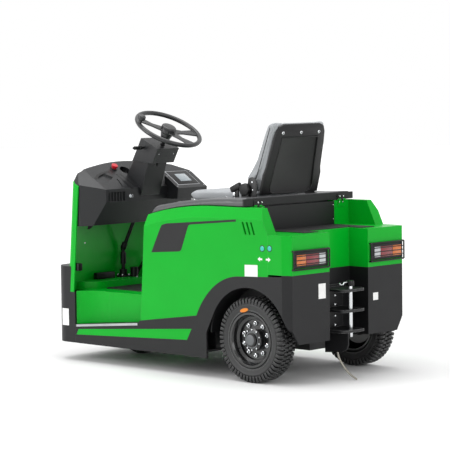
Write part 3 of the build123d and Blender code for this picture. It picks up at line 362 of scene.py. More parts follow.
def box(name: str, low: Point, high: Point, rounding: float = 0.0) -> Piece:
    """Adds a box between two corners.

    Args:
        name: the piece's name.
        low: the lowest corner.
        high: the highest corner.
        rounding: the edges' bevel, or 0 for none.

    Returns:
        The box, with its place in its mesh.
    """
    middle = [(a + b) / 2 for a, b in zip(low, high)]
    bpy.ops.mesh.primitive_cube_add(size=1, location=middle)
    piece = bpy.context.object
    piece.name = name
    piece.scale = [b - a for a, b in zip(low, high)]
    fix_place(piece)
    return soften(piece, rounding) if rounding else piece


def rod(
    name: str, start: Point, end: Point, radius: float, tip: Optional[float] = None, sides: int = 24,
    rounded: bool = True,
) -> Piece:
    """Adds a round or many sided bar from one point to another.

    Args:
        name: the piece's name.
        start: the middle of its first end.
        end: the middle of its second end.
        radius: the first end's radius.
        tip: the second end's radius, or None for the same.
        sides: how many sides it has.
        rounded: whether its ends are rounded over.

    Returns:
        The bar, with its place in its mesh.
    """
    run = Vector(end) - Vector(start)
    bpy.ops.mesh.primitive_cone_add(
        vertices=sides, radius1=radius, radius2=radius if tip is None else tip, depth=run.length,
        location=(Vector(start) + Vector(end)) / 2, rotation=run.to_track_quat("Z", "Y").to_euler(),
    )
    piece = bpy.context.object
    piece.name = name
    fix_place(piece)
    return soften(piece, min(radius, tip or radius, run.length) * ROUND_SHARE) if rounded else piece


def edit_all() -> None:
    """Opens the active mesh in edit mode with everything selected."""
    bpy.ops.object.mode_set(mode="EDIT")
    bpy.ops.mesh.select_all(action="SELECT")


def close_edit() -> None:
    """Turns every face outwards and leaves edit mode."""
    bpy.ops.mesh.select_all(action="SELECT")
    bpy.ops.mesh.normals_make_consistent(inside=False)
    bpy.ops.object.mode_set(mode="OBJECT")


def drawn(name: str, corners: Sequence[Point], fill: str) -> Piece:
    """Adds a circle with as many points as the outline and moves each point to its corner.

    Args:
        name: the piece's name.
        corners: the outline's points in order.
        fill: NGON for a face, or NOTHING for a line only.

    Returns:
        The flat outline.
    """
    bpy.ops.mesh.primitive_circle_add(vertices=len(corners), radius=1.0, fill_type=fill)
    piece = bpy.context.object
    piece.name = name
    for vertex, corner in zip(piece.data.vertices, corners):
        vertex.co = corner
    only(piece)
    return piece


def plate(name: str, corners: Sequence[Point], push: Point, rounding: float = 0.0) -> Piece:
    """Draws a flat outline and extrudes it into a plate.

    Args:
        name: the piece's name.
        corners: the outline's points in order.
        push: how far and which way the outline is extruded.
        rounding: the edges' bevel, or 0 for none.

    Returns:
        The closed plate with its faces outwards.
    """
    piece = drawn(name, corners, "NGON")
    edit_all()
    bpy.ops.mesh.extrude_region_move(TRANSFORM_OT_translate={"value": push})
    close_edit()
    return soften(piece, rounding) if rounding else piece


def turned(name: str, section: Sequence[Flat], centre: Point, steps: int = 64) -> Piece:
    """Spins a closed section of radius and sideways distance about a line along Y.

    Args:
        name: the piece's name.
        section: the points, each a radius and a distance along Y from the centre.
        centre: a point on the line.
        steps: how many steps go round.

    Returns:
        The closed round piece.
    """
    piece = drawn(name, [(centre[0], centre[1] + y, centre[2] + r) for r, y in section], "NOTHING")
    edit_all()
    bpy.ops.mesh.spin(steps=steps, angle=2 * math.pi, center=centre, axis=(0, 1, 0))
    bpy.ops.mesh.select_all(action="SELECT")
    bpy.ops.mesh.remove_doubles(threshold=0.00005)
    close_edit()
    return piece


def ring_of(piece: Piece, count: int, centre: Point, axis: Point = (0, 1, 0)) -> Piece:
    """Repeats a piece evenly round a line.

    Args:
        piece: the first one, already in place.
        count: how many there are in all.
        centre: a point on the line.
        axis: the line's direction.

    Returns:
        All of them as one mesh.
    """
    turn = Matrix.Rotation(2 * math.pi / count, 4, Vector(axis))
    guide = bpy.data.objects.new(piece.name + "_guide", None)
    bpy.context.scene.collection.objects.link(guide)
    guide.matrix_world = Matrix.Translation(centre) @ turn @ Matrix.Translation(-Vector(centre))
    bpy.context.view_layer.update()
    use_modifier(piece, "ARRAY", count=count, use_relative_offset=False, use_object_offset=True, offset_object=guide)
    bpy.data.objects.remove(guide)
    return piece


def joined(name: str, pieces: Sequence[Piece]) -> Piece:
    """Joins pieces into the first one and names it.

    Args:
        name: the joined piece's name.
        pieces: the meshes to join.

    Returns:
        The first piece, which holds them all.
    """
    bpy.ops.object.select_all(action="DESELECT")
    for piece in pieces:
        piece.select_set(True)
    bpy.context.view_layer.objects.active = pieces[0]
    bpy.ops.object.join()
    pieces[0].name = name
    return pieces[0]


def settle(piece: Piece, finish: Finish, body: str = "chassis", smooth: float = SMOOTH_ANGLE) -> Piece:
    """Gives a finished piece its material, its shading and the body that it rides on.

    Args:
        piece: the finished piece.
        finish: its finish.
        body: the name of the CAD body.
        smooth: the largest angle in degrees that is shaded smooth.

    Returns:
        The same piece.
    """
    piece.data.materials.clear()
    piece.data.materials.append(make_material(finish))
    if piece.type == "MESH":
        only(piece)
        bpy.ops.object.shade_smooth_by_angle(angle=math.radians(smooth))
    log.info("%s: %s on %s", piece.name, finish.name, body)
    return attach(piece, body)


def side_film(name: str, outline: Sequence[Flat], finish: Finish, side: int = 1) -> Piece:
    """Lays a thin film on one side of the tractor.

    Args:
        name: the piece's name.
        outline: its corners as x from the rear axle and z, in millimetres.
        finish: its finish.
        side: 1 for the left side and -1 for the right one.

    Returns:
        The film.
    """
    corners = [(x / 1000 + AXLE_X, side * (SIDE_Y - 0.0005), z / 1000) for x, z in outline]
    return settle(plate(name, corners, (0, side * 0.0008, 0)), finish)


def rear_film(name: str, low: Flat, high: Flat) -> Piece:
    """Lays a blank white label on the tail.

    Args:
        name: the piece's name.
        low: its lower corner as y and z, in millimetres.
        high: its upper corner in the same way.

    Returns:
        The label.
    """
    start = (TAIL_X - 0.0003, low[0] / 1000, low[1] / 1000)
    end = (TAIL_X + 0.0005, high[0] / 1000, high[1] / 1000)
    return settle(box(name, start, end), WHITE)


@dataclass
class Studio:
    """The camera at the photograph's angle, the pale floor and the soft lights."""

    camera_place: Point = (-7.9745, 8.381, 1.637)
    yaw: float = 46.43
    pitch: float = 4.12
    roll: float = -0.70
    lens: float = 160.32

    def make_camera(self) -> None:
        """Adds the scene's camera."""
        yaw, pitch, roll = (math.radians(a) for a in (self.yaw, self.pitch, self.roll))
        ahead = Vector((math.cos(yaw) * math.cos(pitch), -math.sin(yaw) * math.cos(pitch), -math.sin(pitch)))
        right = ahead.cross(Vector((0, 0, 1))).normalized()
        up = right.cross(ahead)
        across = math.cos(roll) * right + math.sin(roll) * up
        above = math.cos(roll) * up - math.sin(roll) * right
        data = bpy.data.cameras.new("Photo_camera")
        data.lens = self.lens
        data.sensor_width = 36.0
        data.clip_end = 200.0
        camera = bpy.data.objects.new("Photo_camera", data)
        bpy.context.scene.collection.objects.link(camera)
        turn = Matrix((across, above, -ahead)).transposed().to_4x4()
        camera.matrix_world = Matrix.Translation(self.camera_place) @ turn
        bpy.context.scene.camera = camera

    def add_light(self, name: str, place: Point, target: Point, size: float, power: float) -> None:
        """Adds one square soft light.

        Args:
            name: the light's name.
            place: where it hangs.
            target: the point that it faces.
            size: its side in metres.
            power: its power in watts.
        """
        data = bpy.data.lights.new(name, "AREA")
        data.size = size
        data.energy = power
        light = bpy.data.objects.new(name, data)
        bpy.context.scene.collection.objects.link(light)
        light.location = place
        light.rotation_euler = (Vector(target) - Vector(place)).to_track_quat("-Z", "Y").to_euler()

    def background_rays(self, tree: Tree) -> Socket:
        """Gives 1 for the rays that show the background.

        Args:
            tree: the node tree of the floor or the world.

        Returns:
            The socket that is 1 for camera, glossy and transmission rays and 0 for all others.
        """
        path = add_node(tree, "LightPath").outputs
        mirrored = add_node(
            tree, "Math", {0: path["Is Glossy Ray"], 1: path["Is Transmission Ray"]}, operation="MAXIMUM"
        )
        return add_node(
            tree, "Math", {0: path["Is Camera Ray"], 1: mirrored.outputs[0]}, operation="MAXIMUM"
        ).outputs[0]

    def make_room(self) -> None:
        """Adds the floor, the lights and the white surroundings."""
        bpy.ops.mesh.primitive_plane_add(size=60, location=(0, 0, -0.0005))
        floor = fix_place(bpy.context.object)
        floor.name = "Studio_floor"
        floor.data.materials.append(make_material(PALE_FLOOR))
        tree = floor.active_material.node_tree
        place = add_node(tree, "TexCoord").outputs["Object"]
        away = add_node(tree, "VectorMath", {0: place}, operation="LENGTH").outputs["Value"]
        rise = add_node(
            tree, "MapRange", {"Value": away, "From Min": 2.0, "From Max": 8.0, "To Max": 0.55}
        ).outputs[0]
        seen = self.background_rays(tree)
        glow = add_node(tree, "Math", {0: rise, 1: seen}, operation="MULTIPLY")
        shader = tree.nodes["Principled BSDF"]
        shader.inputs["Emission Color"].default_value = (1.0, 1.0, 1.0, 1.0)
        tree.links.new(glow.outputs[0], shader.inputs["Emission Strength"])
        world = bpy.data.worlds.new("Studio")
        world.use_nodes = True
        tree = world.node_tree
        way = add_node(tree, "SeparateXYZ", {0: add_node(tree, "TexCoord").outputs["Generated"]})
        sky = add_node(tree, "MapRange", {"Value": way.outputs["Z"], "To Min": 0.42, "To Max": 1.0})
        seen = self.background_rays(tree)
        level = add_node(tree, "Mix", {0: seen, 2: sky.outputs[0], 3: 1.0})
        tree.links.new(level.outputs[0], tree.nodes["Background"].inputs["Strength"])
        tree.nodes["Background"].inputs["Color"].default_value = (1.0, 1.0, 1.0, 1.0)
        bpy.context.scene.world = world
        middle = (0.0, 0.0, 0.7)
        self.add_light("Top_softbox", (0.4, 0.2, 4.4), middle, 3.4, 110.0)
        self.add_light("Left_softbox", (2.6, 5.2, 2.6), middle, 2.6, 130.0)
        self.add_light("Rear_softbox", (-5.4, 0.6, 2.4), middle, 2.6, 60.0)
        bpy.context.scene.view_settings.view_transform = "Standard"


@dataclass
class GroundStrap:
    """The braided strap that hangs from the hitch plate and lies on the floor."""

    diameter: float = 0.010
    length: float = 0.231
    route: list[Point] = field(default_factory=lambda: [
        (-0.8895, 0.050, 0.172), (-0.8895, 0.050, 0.142), (-0.8995, 0.048, 0.109), (-0.9205, 0.044, 0.075),
        (-0.9495, 0.042, 0.043), (-0.9845, 0.043, 0.019), (-1.0235, 0.048, 0.006),
    ])

    def make(self) -> None:
        """Draws the strap on one smooth curve."""
        curve = bpy.data.curves.new("ground_braid", "CURVE")
        curve.dimensions = "3D"
        curve.bevel_depth = self.diameter / 2
        curve.bevel_resolution = 5
        curve.use_fill_caps = True
        spline = curve.splines.new("NURBS")
        spline.points.add(len(self.route) - 1)
        for point, place in zip(spline.points, self.route):
            point.co = (*place, 1.0)
        spline.order_u = 3
        spline.use_endpoint_u = True
        spline.resolution_u = 12
        strap = bpy.data.objects.new("ground_braid", curve)
        bpy.context.scene.collection.objects.link(strap)
        settle(strap, BRAIDED)
        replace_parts(strap, "ground_strap")


@dataclass
class RearWheel:
    """A lugged tyre on its dished rim with nuts and hub bolts."""

    side: int
    name: str
    radius: float = 0.233
    rim_radius: float = 0.146
    middle_y: float = 0.425
    lug_count: int = 56
    nut_circle: float = 0.088
    nut_count: int = 10

    @property
    def centre(self) -> Point:
        """The wheel's middle."""
        return (AXLE_X, self.side * self.middle_y, self.radius)

    @property
    def body(self) -> str:
        """The CAD body that the wheel rides on."""
        return "rear_wheel_" + self.name

    def make_carcass(self) -> Piece:
        """Spins the tyre's section, with its beads, sidewall rings and tread base."""
        half = [
            (0.1460, 0.045), (0.1520, 0.052), (0.1560, 0.0545), (0.1580, 0.0575), (0.1610, 0.0575), (0.1630, 0.0560),
            (0.1760, 0.0595), (0.1880, 0.0600), (0.1895, 0.0608), (0.1925, 0.0608), (0.1945, 0.0598), (0.1985, 0.0570),
            (0.2050, 0.0535), (0.2140, 0.0480), (0.2180, 0.0400), (0.2215, 0.0200),
        ]
        section = half + [(r, -y) for r, y in reversed(half)]
        return turned("tyre_carcass_" + self.name, section, self.centre, 112)

    def make_lugs(self) -> Piece:
        """Makes the shoulder and middle blocks of the tread."""
        x, y, z = self.centre
        pitch = 2 * math.pi / self.lug_count
        rows = [(0.0300, 0.0607, 0.0072, 0.1985, 0.0), (0.0035, 0.0260, 0.0070, 0.2160, 0.5)]
        made = []
        for number, (inner, outer, half_width, root, shift) in enumerate(rows):
            for way in (1, -1):
                near, far = way * inner, way * outer
                top = self.radius - 0.0004
                outer_top = top - (0.009 if number == 0 else 0.0)
                corners = [
                    (x - half_width, y + near, z + root), (x - half_width, y + far, z + root),
                    (x - half_width, y + far, z + outer_top), (x - half_width, y + (near + far * 2) / 3, z + top),
                    (x - half_width, y + near, z + top),
                ]
                lug = plate(f"lug_{number}_{way}", corners, (2 * half_width, 0.0, 0.0), 0.0012)
                turn = (shift + (0.25 if way < 0 else 0.0)) * pitch
                there = Matrix.Translation(self.centre)
                lug.data.transform(there @ Matrix.Rotation(turn, 4, "Y") @ there.inverted())
                made.append(ring_of(lug, self.lug_count, self.centre))
        return joined("tyre_lugs_" + self.name, made)

    def make_nuts(self) -> None:
        """Adds the wheel nuts, the hub's bolts and the valve."""
        x, y, z = self.centre
        out = self.side
        high = z + self.nut_circle
        nut = rod("nut", (x, y + out * 0.005, high), (x, y + out * 0.017, high), 0.0138, sides=6)
        cap = rod("cap", (x, y + out * 0.016, high), (x, y + out * 0.024, high), 0.0085, 0.0055)
        nuts = ring_of(joined("wheel_nuts_" + self.name, [nut, cap]), self.nut_count, self.centre)
        settle(nuts, ZINC, self.body)
        bolt = rod("bolt", (x, y + out * 0.034, z + 0.056), (x, y + out * 0.045, z + 0.056), 0.0052, sides=6)
        bolts = ring_of(bolt, 10, self.centre)
        bolts.name = "hub_bolts_" + self.name
        settle(bolts, ZINC, self.body)
        ring = [(0.0400, 0.040), (0.0480, 0.040), (0.0470, 0.0445), (0.0410, 0.0445)]
        face = [(0.0002, 0.0560), (0.0300, 0.0560), (0.0290, 0.0590), (0.0240, 0.0600), (0.0002, 0.0600)]
        for name, section, steps in (("hub_ring_", ring, 64), ("hub_face_", face, 48)):
            outwards = [(r, out * y_out) for r, y_out in section]
            settle(turned(name + self.name, outwards, self.centre, steps), HUB_STEEL, self.body)
        inner, outer = (x + 0.102, y + out * 0.008, z - 0.052), (x + 0.110, y + out * 0.030, z - 0.056)
        valve = rod("valve_" + self.name, inner, outer, 0.004)
        settle(valve, SHELL, self.body)

    def make_patch(self) -> None:
        """Lays the blank orange oval on the left tyre's sidewall."""
        bpy.ops.mesh.primitive_cylinder_add(vertices=40, radius=1.0, depth=1.0)
        patch = bpy.context.object
        patch.name = "sidewall_patch"
        tilt = Matrix.Rotation(math.radians(14), 4, "Y") @ Matrix.Rotation(math.radians(-90), 4, "X")
        patch.data.transform(tilt @ Matrix.Diagonal((0.030, 0.0105, 0.0030, 1.0)))
        patch.data.transform(Matrix.Translation((AXLE_X + 0.040, self.middle_y + 0.0584, self.radius + 0.161)))
        settle(patch, ORANGE, self.body)

    def make(self) -> None:
        """Builds the wheel."""
        carcass = settle(self.make_carcass(), TYRE_RUBBER, self.body)
        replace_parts(carcass, "rear_tyre_" + self.name)
        settle(self.make_lugs(), TYRE_RUBBER, self.body)
        self.make_nuts()
        if self.side > 0:
            self.make_patch()


def turned_x(name: str, section: Sequence[Flat], y: float, z: float) -> Piece:
    """Spins a closed section of radius and x about a line along X.

    Args:
        name: the piece's name.
        section: the points, each a radius and an x.
        y: the line's distance to the left.
        z: the line's height.

    Returns:
        The closed round piece.
    """
    piece = turned(name, [(r, -x) for r, x in section], (0.0, 0.0, 0.0))
    piece.data.transform(Matrix.Translation((0.0, y, z)) @ Matrix.Rotation(math.radians(90), 4, "Z"))
    return piece


@dataclass
class Seat:
    """The padded cushion and back, the snaps, the buckle and the screws that show."""

    half_width: float = 0.222
    cushion_profile: list[Point] = field(default_factory=lambda: [
        (-0.389, 0, 0.960), (0.048, 0, 0.960), (0.083, 0, 0.988), (0.075, 0, 1.003), (0.000, 0, 1.008),
        (-0.370, 0, 1.018), (-0.389, 0, 1.003),
    ])
    back_profile: list[Point] = field(default_factory=lambda: [
        (-0.4855, 0, 1.013), (-0.5265, 0, 1.171), (-0.5920, 0, 1.396), (-0.5760, 0, 1.411), (-0.5350, 0, 1.394),
        (-0.4460, 0, 1.200), (-0.3740, 0, 1.092), (-0.3860, 0, 1.030),
    ])

    def pad(self, name: str, profile: Sequence[Point], cap: float) -> Piece:
        """Makes one stuffed piece from its side profile.

        Args:
            name: the piece's name.
            profile: its corners seen from the side.
            cap: how far the cloth may swell.

        Returns:
            The finished padded mesh.
        """
        corners = [(x, -self.half_width + 0.004, z) for x, _, z in profile]
        piece = plate(name, corners, (0.0, 2 * self.half_width - 0.008, 0.0), 0.016)
        use_modifier(piece, "REMESH", mode="VOXEL", voxel_size=0.006)
        use_modifier(piece, "SMOOTH", factor=0.5, iterations=14)
        self.swell(piece, cap)
        use_modifier(piece, "SUBSURF", levels=1, render_levels=1)
        return piece

    def sew(self, piece: Piece, across: float) -> None:
        """Draws the cover in along two lengthwise seams and one across.

        Args:
            piece: the finished pad.
            across: the distance along the pad, as x plus z, where the cross seam runs.
        """
        moves = []
        for vertex in piece.data.vertices:
            depth = math.exp(-(((abs(vertex.co.y) - 0.128) / 0.0060) ** 2))
            if abs(vertex.co.y) < 0.128:
                depth = max(depth, math.exp(-(((vertex.co.x + vertex.co.z - across) / 0.0085) ** 2)))
            moves.append(vertex.normal * (-0.0055 * depth))
        for vertex, move in zip(piece.data.vertices, moves):
            vertex.co += move

    def swell(self, piece: Piece, cap: float) -> None:
        """Runs the cloth under light pressure and holds each point near its rest place.

        Args:
            piece: the remeshed pad.
            cap: the longest move of any point.
        """
        rest = [v.co.copy() for v in piece.data.vertices]
        only(piece)
        cloth = piece.modifiers.new("Cloth", "CLOTH")
        cloth.settings.use_pressure = True
        cloth.settings.uniform_pressure_force = 4.0
        cloth.settings.effector_weights.gravity = 0.0
        cloth.point_cache.frame_end = 20
        for number in range(1, 21):
            bpy.context.scene.frame_set(number)
        bpy.ops.object.modifier_apply(modifier=cloth.name)
        bpy.context.scene.frame_set(1)
        for vertex, start in zip(piece.data.vertices, rest):
            move = vertex.co - start
            if move.length > cap:
                vertex.co = start + move.normalized() * cap

    def make_seams(self) -> None:
        """Sews the black welt round the sides of the seat back."""
        line = [(-0.4400, 1.060), (-0.4860, 1.171), (-0.5350, 1.300), (-0.5640, 1.378)]
        welts = []
        for side in (1, -1):
            y = side * (self.half_width + 0.0005)
            for number, (a, b) in enumerate(zip(line, line[1:])):
                welts.append(rod(f"welt_{side}_{number}", (a[0], y, a[1]), (b[0], y, b[1]), 0.0022, sides=10))
        settle(joined("seat_welt", welts), SHELL, "hood")

    def make_shell(self) -> None:
        """Cuts the back shell from its outline and sinks its panel."""
        half = [
            (0.1500, 1.3920), (0.1840, 1.3800), (0.2020, 1.3480), (0.2120, 1.2900), (0.2210, 1.2000), (0.2260, 1.1500),
            (0.2385, 1.1120), (0.2392, 1.0600), (0.2392, 1.0030),
        ]
        sunk = [(0.1500, 1.3190), (0.1600, 1.2040), (0.1780, 1.0450), (0.1660, 1.0180), (0.1400, 1.0070)]
        shell = plate("seat_back_shell", self.on_rear(half, 0.0), (0.0158, 0.0, 0.0044), 0.005)
        floor = plate("panel_cutter", self.on_rear(sunk, -0.02), (0.0243, 0.0, 0.0067), 0.004)
        use_modifier(shell, "BOOLEAN", operation="DIFFERENCE", object=floor, solver="EXACT")
        bpy.data.objects.remove(floor)
        rim = self.on_rear(sunk, -0.0006)
        beads = [rod("bead", a, b, 0.0034, sides=10) for a, b in zip(rim, rim[1:] + rim[:1])]
        settle(joined("seat_back_shell", [shell, *beads]), SHELL, "hood")
        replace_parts(shell, "seat_shell")

    def on_rear(self, half: Sequence[Flat], out: float) -> list[Point]:
        """Mirrors half an outline and lays it on the shell's rear plane.

        Args:
            half: points of sideways distance and height, from the top middle down.
            out: how far in front of the plane it lies; negative is behind.

        Returns:
            The whole outline in order.
        """
        whole = list(half) + [(-y, z) for y, z in reversed(half)]
        return [(-0.6085 - 0.2745 * (z - 1.392) + out, y, z) for y, z in whole]

    def make_brackets(self) -> None:
        """Adds the round topped side plates with their bolts."""
        plates = []
        dots = []
        for side in (1, -1):
            turns = [math.radians(a) for a in range(0, 181, 20)]
            arc = [(-0.4455 + 0.0325 * math.cos(a), 1.0705 + 0.0325 * math.sin(a)) for a in turns]
            line = [(-0.3300, 0.9370), (-0.3300, 0.9600), (-0.4050, 0.9850)] + arc + [(-0.4780, 0.9370)]
            plates.append(plate("bracket", [(x, side * 0.2403, z) for x, z in line], (0.0, side * 0.0062, 0.0), 0.0012))
            for x, z, r in (
                (-0.4480, 1.0740, 0.0068), (-0.4520, 1.0310, 0.0058), (-0.3550, 0.9480, 0.0060),
                (-0.4500, 0.9520, 0.0060),
            ):
                dots.append(rod("bolt", (x, side * 0.2460, z), (x, side * 0.2500, z), r, r * 0.8, 6))
        brackets = settle(joined("side_brackets", plates), BARE_EDGED, "hood")
        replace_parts(brackets, "seat_brackets")
        settle(joined("bracket_bolts", dots), ZINC, "hood")

    def make_fittings(self) -> None:
        """Adds the snaps on the shell, the belt retractor, the buckle and the slide lever."""
        normal = Vector((-0.963, 0.0, -0.268))
        rings = []
        eyes = []
        for y in (-0.150, 0.0, 0.150):
            at = Vector((-0.5955, y, 1.345))
            rings.append(rod("snap", at - normal * 0.001, at + normal * 0.0030, 0.0105, 0.0085))
            eyes.append(rod("snap_eye", at, at + normal * 0.0036, 0.0045))
        settle(joined("shell_snaps", rings), ZINC, "hood")
        settle(joined("shell_snap_eyes", eyes), SHELL, "hood")
        reel = rod("reel", (-0.4020, 0.2460, 1.0320), (-0.4020, 0.2700, 1.0320), 0.0370, 0.0340, 40)
        cover = box("reel_cover", (-0.4300, 0.2465, 0.9600), (-0.3780, 0.2640, 1.0300), 0.006)
        head = box("buckle_head", (-0.3760, 0.2480, 1.0260), (-0.2980, 0.2720, 1.0600), 0.007)
        there = Matrix.Translation((-0.337, 0, 1.043))
        head.data.transform(there @ Matrix.Rotation(math.radians(24), 4, "Y") @ there.inverted())
        stalk = box("buckle_stalk", (-0.3560, 0.2520, 0.9560), (-0.3260, 0.2620, 1.0420), 0.003)
        settle(joined("belt_buckle", [reel, cover, head, stalk]), SHELL, "hood")
        tongue = box("belt_tongue", (-0.3240, 0.2540, 0.9860), (-0.3080, 0.2575, 1.0200), 0.001)
        stud = rod("belt_stud", (-0.3410, 0.2600, 0.9760), (-0.3410, 0.2680, 0.9760), 0.0090, 0.0070, 16)
        settle(joined("belt_metal", [tongue, stud]), ZINC, "hood")
        lever = rod("slide_lever", (-0.3000, 0.2350, 0.9500), (-0.2620, 0.2680, 0.9920), 0.0035)
        settle(lever, ZINC, "hood")

    def make(self) -> None:
        """Builds the seat."""
        cushion = settle(self.pad("cushion_pad", self.cushion_profile, 0.010), GREY_VINYL, "hood", 80.0)
        self.sew(cushion, 0.955)
        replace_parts(cushion, "seat_cushion")
        back = settle(self.pad("back_pad", self.back_profile, 0.008), GREY_VINYL, "hood", 80.0)
        self.sew(back, 0.800)
        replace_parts(back, "seat_back")
        self.make_seams()
        self.make_shell()
        self.make_brackets()
        self.make_fittings()


@dataclass
class HandWheel:
    """The hand wheel with its three spokes and domed hub, on the tilted column."""

    centre: Point = (0.4511, 0.0, 1.355)
    tilt: float = -29.0
    radius: float = 0.1956
    tube: float = 0.014

    def place(self, piece: Piece) -> Piece:
        """Moves a piece from the upright drawing to the tilted column.

        Args:
            piece: the piece, drawn about the origin.

        Returns:
            The same piece in its place.
        """
        only(piece)
        piece.rotation_euler = (0.0, math.radians(self.tilt), 0.0)
        piece.location = self.centre
        return fix_place(piece)

    def make(self) -> None:
        """Builds the hand wheel."""
        bpy.ops.mesh.primitive_torus_add(
            major_segments=96, minor_segments=20, major_radius=self.radius, minor_radius=self.tube - 0.0003,
        )
        rim = bpy.context.object
        hub = rod("hub", (0, 0, -0.066), (0, 0, -0.020), 0.027, 0.040, 48)
        dome = rod("dome", (0, 0, -0.024), (0, 0, 0.0195), 0.0480, 0.0440, 48, False)
        soften(dome, 0.010, 4)
        spokes = []
        for angle in (45.0, 192.0, 252.0):
            outline = [
                (0.020, -0.034, -0.016), (0.100, -0.020, -0.014), (self.radius - 0.004, -0.036, -0.006),
                (self.radius - 0.004, 0.036, -0.006), (0.100, 0.020, -0.014), (0.020, 0.034, -0.016),
            ]
            spoke = plate("spoke", outline, (0, 0, 0.008), 0.0025)
            only(spoke)
            spoke.rotation_euler = (0, 0, math.radians(angle))
            spokes.append(fix_place(spoke))
        wheel = self.place(joined("hand_wheel", [rim, hub, dome, *spokes]))
        settle(wheel, WHEEL, "steering")
        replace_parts(wheel, "steering_wheel")


@dataclass
class Lamps:
    """The tail lamps in their round wire cages, and the headlamps."""

    face: float = -0.9345
    low: float = 0.634
    high: float = 0.722
    fields: list[tuple[str, float, float, Finish]] = field(default_factory=lambda: [
        ("amber", 0.368, 0.444, AMBER), ("red", 0.262, 0.366, RED_LENS), ("clear", 0.208, 0.260, CLEAR),
    ])

    def make_cage(self, side: int) -> Piece:
        """Bends one cage: a round cornered hoop, three wires and four feet.

        Args:
            side: 1 for the left lamp and -1 for the right one.

        Returns:
            The cage.
        """
        x = self.face - 0.0125
        corners = [(0.178, 0.628), (0.466, 0.628), (0.466, 0.728), (0.178, 0.728)]
        bars = []
        for number, (y, z) in enumerate(corners):
            other = corners[(number + 1) % 4]
            bars.append(rod("hoop", (x, side * y, z), (x, side * other[0], other[1]), 0.0048, sides=12))
            bars.append(rod("foot", (x, side * y, z), (self.face + 0.002, side * y, z), 0.0046, sides=12))
        for z in (0.656, 0.678, 0.700):
            bars.append(rod("wire", (x, side * 0.180, z), (x, side * 0.464, z), 0.0026, sides=10))
        return joined("cage", bars)

    def make_tail(self) -> None:
        """Builds both tail lamps."""
        backs = []
        for side in (1, -1):
            ends = sorted((side * 0.184, side * 0.460))
            backs.append(box("housing", (self.face - 0.008, ends[0], self.low), (self.face, ends[1], self.high), 0.003))
            ends = sorted((side * 0.200, side * 0.452))
            start, end = (self.face - 0.0110, ends[0], 0.6430), (self.face - 0.004, ends[1], 0.7130)
            backs.append(box("bezel", start, end, 0.003))
        housing = settle(joined("lamp_housings", backs), SHELL)
        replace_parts(housing, "tail_lamps")
        for name, inner, outer, finish in self.fields:
            lenses = []
            for side in (1, -1):
                ends = sorted((side * inner, side * outer))
                start, end = (self.face - 0.0125, ends[0], 0.6490), (self.face - 0.007, ends[1], 0.7070)
                lenses.append(box(name, start, end, 0.0022))
            settle(joined("lamp_" + name, lenses), finish)
        cages = settle(joined("lamp_cages", [self.make_cage(1), self.make_cage(-1)]), SHELL)
        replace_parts(cages, "lamp_guards")

    def make_head(self) -> None:
        """Builds both headlamps."""
        shells = []
        glasses = []
        for side in (1, -1):
            y = side * 0.300
            shells.append(rod("bowl", (0.8430, y, 0.820), (0.9040, y, 0.820), 0.0590, 0.0598, 48, False))
            ring = [(0.0500, 0.9020), (0.0598, 0.9020), (0.0590, 0.9200), (0.0520, 0.9225)]
            shells.append(turned_x("bezel", ring, y, 0.820))
            glasses.append(rod("glass", (0.9000, y, 0.820), (0.9180, y, 0.820), 0.0515, 0.0440, 48, False))
        bowls = settle(joined("headlamp_bowls", shells), SHELL)
        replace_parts(bowls, "headlamps")
        settle(joined("headlamp_glasses", glasses), CLEAR)

    def make(self) -> None:
        """Builds all four lamps."""
        self.make_tail()
        self.make_head()


@dataclass
class HitchPin:
    """The pull pin with its black head and bent wire handle."""

    x: float = -0.942

    def make(self) -> None:
        """Builds the pin."""
        x = self.x
        shaft = rod("shaft", (x, 0, 0.2275), (x, 0, 0.520), 0.0125, sides=40)
        wire = [(x, 0.022, 0.530), (x, 0.050, 0.530), (x, 0.062, 0.519), (x, 0.082, 0.519), (x, 0.090, 0.530)]
        runs = [rod("wire", a, b, 0.0040, sides=12) for a, b in zip(wire, wire[1:])]
        pin = settle(joined("draw_pin", [shaft, *runs]), ZINC, "hitch_lock")
        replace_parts(pin, "hitch_pin")
        head = rod("pin_head", (x, 0, 0.5085), (x, 0, 0.5385), 0.0232, 0.0215, 20)
        settle(head, SHELL, "hitch_lock")


@dataclass
class Shield:
    """The leaning green front shield, its moulded rim, and the dash with its outer corners taken off."""

    cut: Point = (0.720, 0.0, 1.033)
    slope: float = 0.42
    corner: Flat = (0.478, 1.040)
    corner_slope: Flat = (0.75, 0.66)
    flat: float = 9.0

    def copy_cut(self, name: str, node: str, planes: Sequence[tuple[Point, Vector]]) -> Piece:
        """Copies a node's mesh and cuts away what lies in front of each plane.

        Args:
            name: the piece's name.
            node: the CAD node that is copied.
            planes: a point and a direction for each cut.

        Returns:
            The closed piece.
        """
        piece = bpy.data.objects.new(name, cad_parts[node].data.copy())
        bpy.context.scene.collection.objects.link(piece)
        only(piece)
        edit_all()
        bpy.ops.mesh.remove_doubles(threshold=0.00002)
        for place, way in planes:
            bpy.ops.mesh.select_all(action="SELECT")
            bpy.ops.mesh.bisect(plane_co=place, plane_no=way, use_fill=True, clear_outer=True)
        close_edit()
        return piece

    def make(self) -> None:
        """Builds the shield, its rim and the dash."""
        up = Vector((-self.slope, 0.0, 1.0)).normalized()
        corners = [
            (
                (0.0, side * self.corner[0], self.corner[1]),
                Vector((0.0, side * self.corner_slope[0], self.corner_slope[1])),
            )
            for side in (1, -1)
        ]
        panel = self.copy_cut("shield_panel", "front_shield", [(self.cut, up)])
        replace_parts(settle(panel, GREEN, "chassis", self.flat), "front_shield")
        rim = self.copy_cut("dash_rim", "front_shield", [(self.cut, -up), *corners])
        settle(rim, MOULDED, "chassis", self.flat)
        dash = self.copy_cut("dash_body", "dash", corners)
        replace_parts(settle(dash, MOULDED, "chassis", self.flat), "dash")


